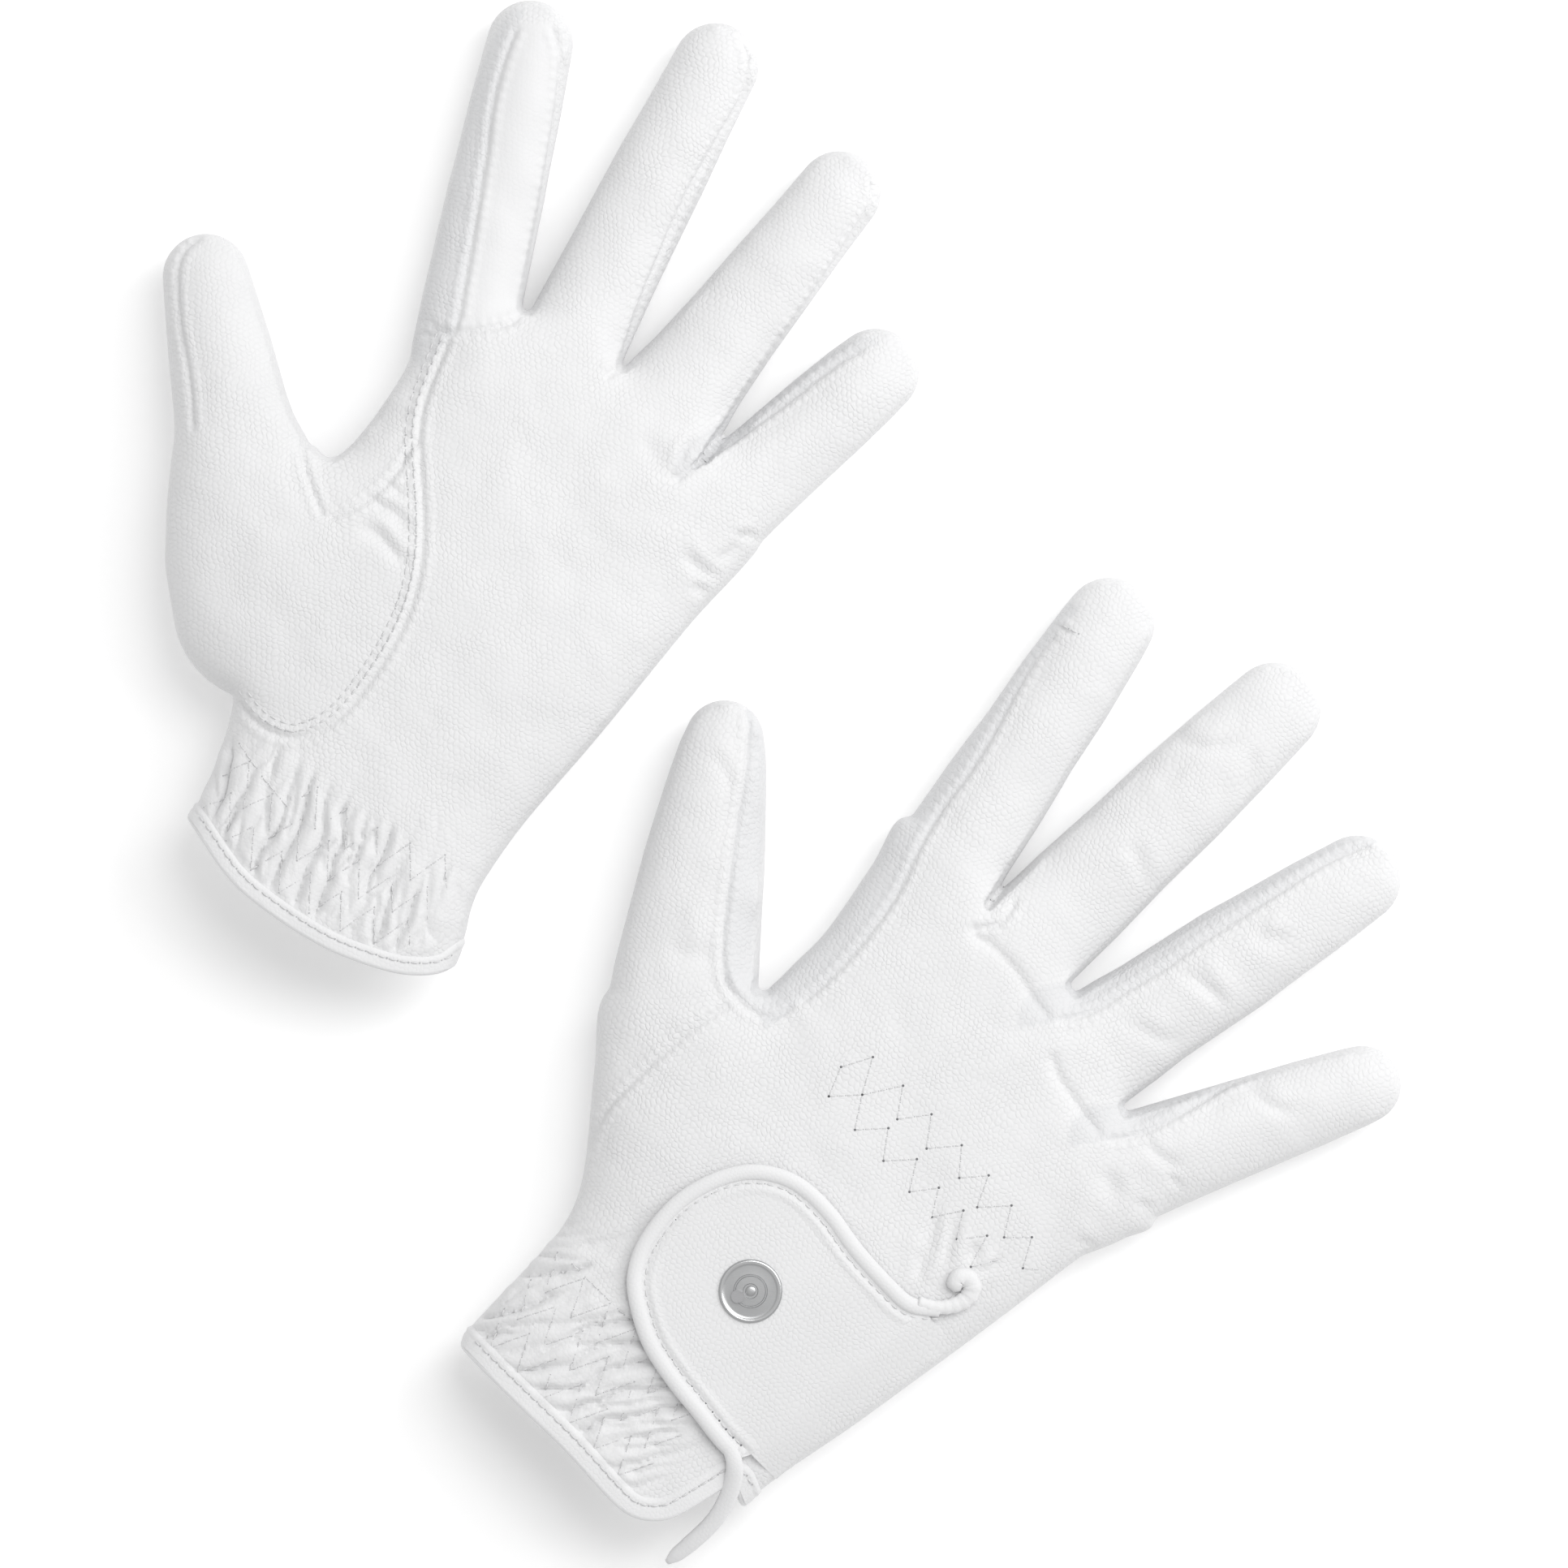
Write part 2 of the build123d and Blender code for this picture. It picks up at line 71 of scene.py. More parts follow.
# cuff is the middle of the cuff, where the glove's own frame starts, and heading is the way its fingers
# point, in degrees. palm is the outline of the hand without its fingers. A finger is its root, its tip, the
# sideways bow of its middle line at the tip, its tip radius and its widths as (distance from the root,
# width). middle_height is (distance from the cuff, height of the glove's middle surface).
GLOVES = {
    "left": dict(
        palm_up=True,
        cuff=(-113.6, -26.8),
        heading=60.6,
        fingers=dict(
            index=((-76.8, 118.0), (-61.0, 193.2), 1.0, 10.6,
                   [(0, 24.6), (28, 24), (35, 23.4), (49, 22.8), (63, 21.6)]),
            long=((-52, 108.2), (-14, 187.6), 2.6, 10.6,
                  [(0, 26), (8, 25.5), (24, 24.4), (48, 23.4), (64, 21.9), (76, 21.2)]),
            ring=((-31, 89.2), (19, 154.8), 1.6, 10.3,
                  [(0, 29.5), (8, 28.6), (15, 26.6), (30, 24.3), (45, 22.9), (60, 21.3)]),
            little=((-13.6, 69), (29.4, 110.2), 2.2, 10.7, [(0, 25), (16, 24), (32, 23.4), (43, 22.4)]),
            thumb=((-129, 55.2), (-142.6, 135.6), -1.6, 10.6,
                   [(0, 46), (12, 41), (22, 35.5), (30, 30.5), (37, 28.3), (52, 25.7), (67, 22.2)]),
        ),
        palm=[(-118, 84.2), (-111, 80.2), (-103, 87.2), (-93, 102.2), (-89.6, 112), (-80, 124),
              (-64, 117), (-52, 113), (-40, 103), (-30, 92), (-22, 79), (-14, 66), (-5, 60.2),
              (-23, 39.2), (-45, 12.2), (-63, -8.8), (-73, -22.8), (-76.5, -30), (-80, -42), (-92, -62),
              (-130, -62), (-158, -40), (-149, -14), (-142, -1), (-136.5, 14), (-135, 24), (-137, 29),
              (-141, 42), (-145.5, 60), (-146.5, 76), (-137, 84)],
        cuff_edge=[(-172, 10), (-152, -2), (-145, -9), (-135, -22.8), (-125, -31.2), (-113, -38.8),
                   (-103, -43), (-93, -45.8), (-84, -45.6), (-78, -42), (-60, -30)],
        middle_height=[(0, 19), (75, 18.6), (150, 11.4), (235, 9.6)],
    ),
    "right": dict(
        palm_up=False,
        cuff=(-55.0, -158.8),
        heading=45.6,
        fingers=dict(
            index=((38.8, -22), (87, 48.8), -0.4, 11.2,
                   [(0, 28), (8, 27.5), (23, 27), (31, 26.2), (39, 25.2), (54, 25), (70, 23.2)]),
            long=((60.2, -39.8), (128, 28), 2.2, 11.4,
                  [(0, 28), (17, 28), (35, 26.6), (52, 26.4), (70, 24.7), (80, 23.4)]),
            ring=((77.4, -65.4), (149.4, -15.8), 2.2, 10.8,
                  [(0, 29.5), (8, 28.8), (16, 27.5), (40, 27), (48, 25.7), (64, 23.8), (72, 22.4)]),
            little=((88, -93.8), (151.4, -69.8), 1.2, 9.6,
                    [(0, 27), (6, 26.2), (18, 24.7), (31, 23.2), (43, 21.9), (55, 20)]),
            thumb=((-25, -54.8), (-14.6, 20.8), 1.8, 9.7,
                   [(0, 36.4), (7, 35.9), (21, 33), (35, 30.2), (42, 28.3), (55, 24.5), (62, 22)]),
        ),
        palm=[(-6.6, -50.8), (-3, -49.8), (3, -44), (11, -35.8), (22, -19.8), (30, -8), (44, -16),
              (49.6, -29), (60, -36), (71, -50), (78, -62), (84, -80), (92, -106), (84, -112),
              (75, -115.8), (72, -117.4), (49, -134.8), (20, -156), (-11, -178.8), (-30, -206),
              (-66, -200), (-95, -160), (-80, -140), (-77, -133.8), (-61, -116.8), (-53, -106.8),
              (-49, -94.8), (-46.5, -70), (-44, -51.8), (-30, -46)],
        cuff_edge=[(-110, -108), (-90, -127.5), (-80, -136.8), (-65, -151.2), (-53, -162.8),
                   (-43, -173.8), (-38, -178.4), (-33, -179.9), (-27, -179.2), (-16, -172.8),
                   (-12, -171), (-9, -178), (-2, -190)],
        middle_height=[(0, 14.2), (75, 14.2), (150, 10.8), (262, 9.6)],
    ),
}


# ---------------------------------------------------------------- plan geometry

def smooth_line(points, step=1.0, closed=False):
    """Points of a Catmull-Rom line through the given ones, about step apart."""
    p = np.array(points, float)
    p = np.vstack([p[-1], p, p[0], p[1]]) if closed else np.vstack([2 * p[0] - p[1], p, 2 * p[-1] - p[-2]])
    made = []
    for a, b, c, d in zip(p, p[1:], p[2:], p[3:]):
        n = max(2, int(np.linalg.norm(c - b) / step))
        t = np.linspace(0, 1, n, endpoint=False)[:, None]
        square, cube = 2 * a - 5 * b + 4 * c - d, 3 * b - a - 3 * c + d
        made.append(0.5 * (2 * b + (c - a) * t + square * t**2 + cube * t**3))
    if not closed:
        made.append(p[-2:-1])
    return np.vstack(made)


def line_field(xy, line, reach=None):
    """Distance, side (+ to the left of the line) and arc length of the nearest point of an open line."""
    best = np.full(len(xy), 1e9)
    side, along = np.zeros(len(xy)), np.zeros(len(xy))
    start = 0.0
    todo = np.arange(len(xy))
    if reach:
        low, high = line.min(0) - reach, line.max(0) + reach
        todo = np.flatnonzero(((xy > low) & (xy < high)).all(1))
    q = xy[todo]
    for a, b in zip(line, line[1:]):
        d = b - a
        length = math.hypot(*d)
        if length < 1e-9:
            continue
        t = np.clip(((q - a) @ d) / length**2, 0, 1)
        off = q - a - t[:, None] * d
        dist = np.hypot(off[:, 0], off[:, 1])
        near = dist < best[todo]
        hit = todo[near]
        best[hit] = dist[near]
        side[hit] = np.sign(d[0] * (q[near, 1] - a[1]) - d[1] * (q[near, 0] - a[0]))
        along[hit] = start + t[near] * length
        start += length
    return best, side, along


def polygon_depth(xy, loop):
    """Signed distance inside a closed loop, positive inside."""
    closed = np.vstack([loop, loop[:1]])
    dist, _, _ = line_field(xy, closed)
    inside = np.zeros(len(xy), bool)
    for a, b in zip(closed, closed[1:]):
        crosses = (a[1] > xy[:, 1]) != (b[1] > xy[:, 1])
        if crosses.any():
            x = a[0] + (xy[crosses, 1] - a[1]) * (b[0] - a[0]) / (b[1] - a[1])
            inside[crosses] ^= xy[crosses, 0] < x
    return np.where(inside, dist, -dist)


def finger_line(finger):
    """Middle line of a finger as (points, radii), from behind its root to the centre of its tip."""
    (x0, y0), (x1, y1), bow, tip_radius, widths = finger
    length = math.hypot(x1 - x0, y1 - y0)
    ux, uy = (x1 - x0) / length, (y1 - y0) / length
    s = np.linspace(-12, length - tip_radius, 110)
    lean = bow * np.clip(s / length, 0, 1) ** 1.4
    points = np.stack([x0 + ux * s + uy * lean, y0 + uy * s - ux * lean], 1)
    stations = widths + [(length - tip_radius, 2 * tip_radius)]
    radii = np.interp(s, [w[0] for w in stations], [w[1] / 2 for w in stations])
    return points, radii


def finger_depth(xy, finger):
    """Signed distance inside one finger, positive inside."""
    depth = np.full(len(xy), -1e3)
    points, radii = finger_line(finger)
    low, high = points.min(0) - 30, points.max(0) + 30
    todo = np.flatnonzero(((xy > low) & (xy < high)).all(1))
    q = xy[todo]
    best = np.full(len(q), -1e3)
    for p, r in zip(points, radii):
        best = np.maximum(best, r - np.hypot(q[:, 0] - p[0], q[:, 1] - p[1]))
    depth[todo] = best
    return depth


def blurred(a, cells):
    """Box-blurs a plan field three times, which is close to a Gaussian."""
    for _ in range(3):
        for axis in (0, 1):
            pad = [(cells, cells) if k == axis else (0, 0) for k in (0, 1)]
            c = np.cumsum(np.pad(a, pad, mode="edge"), axis)
            c = np.insert(c, 0, 0, axis)
            n = 2 * cells + 1
            later = np.take(c, range(n, c.shape[axis]), axis)
            earlier = np.take(c, range(0, c.shape[axis] - n), axis)
            a = (later - earlier) / n
    return a


def rested(z):
    """Flattens what would reach the floor."""
    span = REST_FROM - REST_GAP
    return np.where(z < REST_FROM, REST_GAP + span * np.exp((z - REST_FROM) / span), z)


class Fill:
    """One filled glove: depth inside its outline, and half height sqrt(2u) about a middle height."""

    def __init__(self, name):
        data = GLOVES[name]
        self.name, self.palm_up = name, data["palm_up"]
        heading = math.radians(data["heading"])
        self.cuff = np.array(data["cuff"])
        self.up = np.array([math.cos(heading), math.sin(heading)])
        self.across = np.array([self.up[1], -self.up[0]])
        self.fingers = data["fingers"]
        palm = smooth_line(data["palm"], 2.0, closed=True)
        tips = np.array([f[1] for f in self.fingers.values()])
        low = np.vstack([palm, tips]).min(0) - 16
        high = np.vstack([palm, tips]).max(0) + 16
        self.low = low
        self.shape = np.ceil((high - low) / PLAN_CELL).astype(int)
        ix, iy = np.meshgrid(*[np.arange(n) for n in self.shape], indexing="ij")
        xy = low + np.stack([ix.ravel(), iy.ravel()], 1) * PLAN_CELL
        depth = polygon_depth(xy, palm)
        for finger in self.fingers.values():
            depth = np.maximum(depth, finger_depth(xy, finger))
        depth = blurred(depth.reshape(self.shape), 1)
        u = self.solve(depth > 0)
        trusted = depth > TRUSTED_DEPTH
        ratio = np.where(trusted, u / np.maximum(depth, 1e-3), 0)
        known = trusted.astype(float)
        for _ in range(5):
            wide, count = blurred(ratio * known, 2), blurred(known, 2)
            fresh = (known == 0) & (count > 1e-4)
            ratio[fresh] = wide[fresh] / count[fresh]
            known[fresh] = 1.0
        ratio = np.where(known > 0, ratio, 5.0)
        share = np.clip((depth - TRUSTED_DEPTH) / TRUST_BLEND, 0, 1)
        self.u = u * share + ratio * depth * (1 - share)
        self.depth = depth
        heights = data["middle_height"]
        y = (xy - self.cuff) @ self.up
        middle = np.interp(y, [h[0] for h in heights], [h[1] for h in heights]).reshape(self.shape)
        self.middle = blurred(middle, 12)
        self.gu = [g / PLAN_CELL for g in np.gradient(self.u)]
        self.gm = [g / PLAN_CELL for g in np.gradient(self.middle)]

    def solve(self, inside):
        """Screened Poisson field over the outline, by red-black relaxation from coarse to fine."""
        levels = [inside]
        while min(levels[-1].shape) > 60:
            fine = levels[-1]
            n, m = fine.shape[0] // 2 * 2, fine.shape[1] // 2 * 2
            levels.append(fine[:n:2, :m:2])
        u = np.zeros(levels[-1].shape)
        for level in range(len(levels) - 1, -1, -1):
            mask = levels[level]
            if u.shape != mask.shape:
                big = np.repeat(np.repeat(u, 2, 0), 2, 1)
                u = np.zeros(mask.shape)
                u[:big.shape[0], :big.shape[1]] = big[:mask.shape[0], :mask.shape[1]]
            cell = PLAN_CELL * 2**level
            diagonal = 4 + (cell / ROUNDING) ** 2
            red = (np.indices(mask.shape).sum(0) % 2).astype(bool)
            red[0], red[-1], red[:, 0], red[:, -1] = False, False, False, False
            black = ~red
            black[0], black[-1], black[:, 0], black[:, -1] = False, False, False, False
            for _ in range(160 if level else 90):
                for colour in (red, black):
                    around = np.zeros_like(u)
                    around[1:-1, 1:-1] = u[2:, 1:-1] + u[:-2, 1:-1] + u[1:-1, 2:] + u[1:-1, :-2]
                    new = u + 1.5 * ((around + cell * cell) / diagonal - u)
                    u = np.where(colour & mask, new, u)
            u = np.where(mask, u, 0)
        return u

    def sample(self, grid, xy):
        """Bilinear value of a plan field at points."""
        g = (xy - self.low) / PLAN_CELL
        i = np.clip(np.floor(g).astype(int), 0, self.shape - 2)
        fx, fy = np.clip(g - i, 0, 1).T
        a, b = i.T
        return ((grid[a, b] * (1 - fx) + grid[a + 1, b] * fx) * (1 - fy)
                + (grid[a, b + 1] * (1 - fx) + grid[a + 1, b + 1] * fx) * fy)

    def value(self, p):
        """The shape's implicit value at points in space, negative inside, and its slope."""
        u = self.sample(self.u, p[:, :2])
        z = p[:, 2] - self.sample(self.middle, p[:, :2])
        gx = -2 * z * self.sample(self.gm[0], p[:, :2]) - 2 * self.sample(self.gu[0], p[:, :2])
        gy = -2 * z * self.sample(self.gm[1], p[:, :2]) - 2 * self.sample(self.gu[1], p[:, :2])
        return z * z - 2 * u, np.stack([gx, gy, 2 * z], 1)

    def surface(self, xy, top=True):
        """Heights of the skin over or under plan points."""
        rise = np.sqrt(np.maximum(2 * self.sample(self.u, xy), 0))
        return rested(self.sample(self.middle, xy) + (rise if top else -rise))

    def pattern(self, xy):
        """Plan points in the glove's own frame: (towards the little finger, towards the fingertips)."""
        q = xy - self.cuff
        return np.stack([q @ self.across, q @ self.up], 1)

    def plan(self, pattern):
        """The other way: points of the glove's own frame as plan points."""
        q = np.array(pattern, float)
        return self.cuff + q[:, :1] * self.across + q[:, 1:2] * self.up


# ---------------------------------------------------------------- meshing

def net_mesh(fill):
    """Surface net of the filled shape: points and quads."""
    nx, ny = ((fill.shape - 2) * PLAN_CELL / VOXEL).astype(int)
    top = float((fill.middle + np.sqrt(np.maximum(2 * fill.u, 0))).max())
    nz = int((top + 8) / VOXEL) + 3
    base = -4.0
    gx, gy = np.meshgrid(np.arange(nx), np.arange(ny), indexing="ij")
    xy = fill.low + np.stack([gx.ravel(), gy.ravel()], 1) * VOXEL
    u, middle = [fill.sample(g, xy).reshape(nx, ny) for g in (fill.u, fill.middle)]
    z = base + np.arange(nz) * VOXEL
    field = (z[None, None, :] - middle[..., None]) ** 2 - 2 * u[..., None]
    inside = field < 0
    corners = [(i, j, k) for i in (0, 1) for j in (0, 1) for k in (0, 1)]

    def at(a, c):
        return a[c[0]:nx - 1 + c[0], c[1]:ny - 1 + c[1], c[2]:nz - 1 + c[2]]

    count = sum(at(inside, c).astype(np.int8) for c in corners)
    active = (count > 0) & (count < 8)
    index = np.full(active.shape, -1)
    index[active] = np.arange(active.sum())
    total, number = np.zeros((active.sum(), 3)), np.zeros(active.sum())
    for a in corners:
        for axis in range(3):
            if a[axis]:
                continue
            b = tuple(v + (k == axis) for k, v in enumerate(a))
            fa, fb = at(field, a)[active], at(field, b)[active]
            change = (fa < 0) != (fb < 0)
            t = np.where(change, fa / np.where(change, fa - fb, 1), 0)
            point = np.tile(np.array(a, float), (len(t), 1))
            point[:, axis] += t
            total += point * change[:, None]
            number += change
    cells = np.argwhere(active)
    points = (cells + total / number[:, None]) * VOXEL + np.array([*fill.low, base])
    quads = []
    for axis in range(3):
        sl = [slice(1, -1)] * 3
        sl[axis] = slice(0, -1)
        a = inside[tuple(slice(s.start, (None if s.stop is None else s.stop)) for s in sl)]
        step = [slice(1, -1)] * 3
        step[axis] = slice(1, None)
        b = inside[tuple(step)]
        where = np.argwhere(a != b)
        flip = a[a != b]
        offset = np.ones(3, int)
        offset[axis] = 0
        where = where + offset
        p, q = [k for k in range(3) if k != axis]
        ring = []
        for dp, dq in ((-1, -1), (0, -1), (0, 0), (-1, 0)):
            c = where.copy()
            c[:, p] += dp
            c[:, q] += dq
            ring.append(index[c[:, 0], c[:, 1], c[:, 2]])
        ring = np.stack(ring, 1)
        forward = flip if axis != 1 else ~flip
        ring[~forward] = ring[~forward][:, ::-1]
        quads.append(ring)
    return points, np.vstack(quads)


def refined(points, quads):
    """Each quad becomes four."""
    edges = np.stack([quads, np.roll(quads, -1, 1)], 2).reshape(-1, 2)
    key = np.sort(edges, 1)
    unique, back = np.unique(key[:, 0] * (len(points) + 1) + key[:, 1], return_inverse=True)
    first = np.zeros(len(unique), int)
    first[back] = np.arange(len(back))
    middle = points[key[first]].mean(1)
    n = len(points)
    edge_of = (back + n).reshape(-1, 4)
    centre = np.arange(len(quads)) + n + len(unique)
    points = np.vstack([points, middle, points[quads].mean(1)])
    made = [np.stack([quads[:, k], edge_of[:, k], centre, edge_of[:, k - 1]], 1) for k in range(4)]
    return points, np.vstack(made)


def snapped(fill, points, rounds=3):
    """Moves points onto the filled surface."""
    for _ in range(rounds):
        value, slope = fill.value(points)
        step = value / np.maximum((slope**2).sum(1), 1e-6)
        points = points - np.clip(step, -0.5, 0.5)[:, None] * slope
    return points


def relaxed(points, quads, fill, rounds=4):
    """Evens out the net along the surface."""
    for _ in range(rounds):
        total, number = np.zeros_like(points), np.zeros(len(points))
        for k in range(4):
            for j in (k - 1, (k + 1) % 4):
                np.add.at(total, quads[:, k], points[quads[:, j]])
                np.add.at(number, quads[:, k], 1)
        points = snapped(fill, 0.5 * points + 0.5 * total / np.maximum(number, 1)[:, None], 1)
    return points


def vertex_normals(points, tris):
    a, b, c = points[tris[:, 0]], points[tris[:, 1]], points[tris[:, 2]]
    face = np.cross(b - a, c - a)
    n = np.zeros_like(points)
    for k in range(3):
        np.add.at(n, tris[:, k], face)
    return n / np.maximum(np.linalg.norm(n, axis=1), 1e-12)[:, None]


class Skin:
    """Triangles with values at their points, which can be split along the zero line of a field."""

    def __init__(self, points, tris):
        self.points, self.tris, self.values = points, tris, {}

    def split(self, field):
        """Puts points where field crosses zero, and returns the field at all points."""
        v = field.copy()
        v[np.abs(v) < 0.02] = 0.0
        sign = np.sign(v)
        t = self.tris
        edges = np.sort(np.vstack([t[:, [0, 1]], t[:, [1, 2]], t[:, [2, 0]]]), 1)
        crossing = sign[edges[:, 0]] * sign[edges[:, 1]] < 0
        keys = edges[:, 0] * (len(v) + 1) + edges[:, 1]
        unique, back = np.unique(keys[crossing], return_inverse=True)
        n = len(v)
        number = np.full(len(keys), -1)
        number[crossing] = back + n
        a, b = unique // (n + 1), unique % (n + 1)
        w = v[a] / (v[a] - v[b])
        fresh = self.points[a] * (1 - w)[:, None] + self.points[b] * w[:, None]
        self.points = np.vstack([self.points, fresh])
        for key, value in self.values.items():
            weight = w if value.ndim == 1 else w[:, None]
            self.values[key] = np.concatenate([value, value[a] * (1 - weight) + value[b] * weight])
        v = np.concatenate([v, np.zeros(len(unique))])
        cut = number.reshape(3, -1).T
        count = (cut >= 0).sum(1)
        made = [t[count == 0]]
        for k in range(3):
            i, j, l = k, (k + 1) % 3, (k + 2) % 3
            one = (count == 1) & (cut[:, i] >= 0)
            q = t[one]
            m = cut[one, i]
            made += [np.stack([q[:, i], m, q[:, l]], 1), np.stack([m, q[:, j], q[:, l]], 1)]
            two = (count == 2) & (cut[:, i] < 0)
            q = t[two]
            m, o = cut[two, j], cut[two, l]
            made.append(np.stack([q[:, l], o, m], 1))
            made += [np.stack([q[:, i], q[:, j], m], 1), np.stack([q[:, i], m, o], 1)]
        self.tris = np.vstack(made)
        return v

    def part(self, keep):
        """The triangles that keep selects, as a new skin."""
        tris = self.tris[keep]
        used = np.unique(tris)
        new = np.zeros(len(self.points), int)
        new[used] = np.arange(len(used))
        made = Skin(self.points[used], new[tris])
        made.values = {k: v[used] for k, v in self.values.items()}
        return made


def grown_skin(fill):
    """The smooth skin of a filled glove, before it is carved."""
    points, quads = net_mesh(fill)
    points = relaxed(snapped(fill, points), quads, fill)
    points, quads = refined(points, quads)
    points = snapped(fill, points, 2)
    tris = np.vstack([quads[:, [0, 1, 2]], quads[:, [0, 2, 3]]])
    points[:, 2] = rested(points[:, 2])
    return Skin(points, tris)


# ---------------------------------------------------------------- seams, creases and gathers

# Seams and mould lines of the upper side, as plan points.
SEAMS = {
    "left": dict(
        palm_seam=[(-81.9, 110.1), (-85, 102.4), (-88.1, 94), (-89.3, 85.5), (-88.8, 76.3), (-88.2, 67),
                   (-88.4, 56.3), (-90.5, 45.5), (-94.7, 35.5), (-100.4, 26.3), (-107, 17.8),
                   (-113.2, 13.2), (-120.1, 11.2), (-127, 13.5), (-131.6, 17.5), (-134.7, 21.7)],
        index_wall=[(-81.9, 110.1), (-80.1, 113.2), (-78.2, 124), (-75.8, 137.8), (-73.2, 154.7),
                    (-71.5, 167), (-68.5, 178.6), (-65, 187)],
        index_base=[(-90.1, 110.1), (-84.7, 110.9), (-80.1, 110.9), (-73.2, 111.7), (-67, 113.2),
                    (-64.2, 115)],
        index_inner=[(-64.2, 115), (-61.9, 128.6), (-59.3, 142.4), (-57, 156.3), (-55.2, 168.6),
                     (-54.7, 179.4), (-57, 187)],
        gusset_outer=[(-118.2, 84.6), (-116.7, 76.3), (-112.4, 64.6)],
        gusset_inner=[(-112.4, 64.6), (-103.9, 68.3), (-95.5, 75.5), (-89.6, 85.5)],
        long_wall=[(-40.1, 101.4), (-35.5, 116.3), (-29.3, 131.7), (-23.2, 145.5), (-15.5, 159.4),
                   (-10.1, 168.6), (-8.1, 177.8), (-10.1, 184)],
        ring_wall=[(-20.4, 78.6), (-13.9, 88.6), (-5.5, 100.9), (3, 113.2), (12.2, 127), (19.9, 139.4),
                   (22.2, 145.5), (21.5, 150.1)],
        little_wall=[(-20.8, 78.1), (-12.4, 84.7), (-1.6, 92.4), (7.6, 99.4), (15.3, 104.7), (20.7, 107)],
        thumb_seam=[(-142.4, 135), (-146.5, 132.4), (-148.7, 127.8), (-149, 120.9), (-148.1, 111.7),
                    (-146.5, 104), (-145.3, 94.7), (-144.7, 85.5)],
    ),
    "right": dict(
        thumb_seam=[(-10.2, 20.1), (-8.4, 17.2), (-8.9, 4.4), (-10.7, -6.8), (-12.6, -19.6),
                    (-14.2, -32.4), (-14.7, -42), (-13.4, -49.2), (-8.6, -54)],
        gusset=[(-14.5, -45.2), (-12.6, -51.6), (-7.8, -55.6), (-3, -57.2), (3.4, -54.3)],
        back_seam=[(-50.2, -94.8), (-44.6, -81.7), (-36.6, -72.7), (-27.8, -64.7), (-19, -57.7),
                   (-11.8, -53.5)],
        index_wall=[(3.4, -54.3), (10.6, -48.4), (19.4, -38.8), (27.4, -27.6), (33.8, -14.8),
                    (39.4, -5.2), (45, 2), (51.4, 12.4), (57.8, 24.4), (63.4, 33.2), (68.2, 38.3)],
        index_mark=[(66.6, 39.3), (71.4, 36.7)],
        long_crotch=[(45, -35.6), (53, -34.3), (57.8, -27.6)],
        ring_wall=[(66.6, -58.3), (75.4, -56.1), (85, -50.3), (94.6, -44.4), (102.6, -38.8),
                   (113.8, -31.6), (125, -24.4), (133, -19.3), (139.4, -16.4), (145.8, -14.5)],
        little_wall=[(78.9, -87.6), (86.6, -86.3), (94.6, -82.8), (102.6, -78), (110.6, -73.2),
                     (118.6, -70)],
        knuckle_upper=[(45, -35.6), (52.2, -40.7), (57.8, -46.8), (61.8, -53.2), (66.1, -58.3)],
        knuckle_lower=[(65.5, -65.2), (67.4, -71.6), (70.6, -76.4), (74.6, -82), (78.9, -87.3)],
        tab_root=[(-7.8, -164.4), (13, -145.2), (34.6, -128.9)],
    ),
}
SOFT_SEAMS = {"knuckle_upper", "knuckle_lower", "tab_root"}  # these are wider and shallower

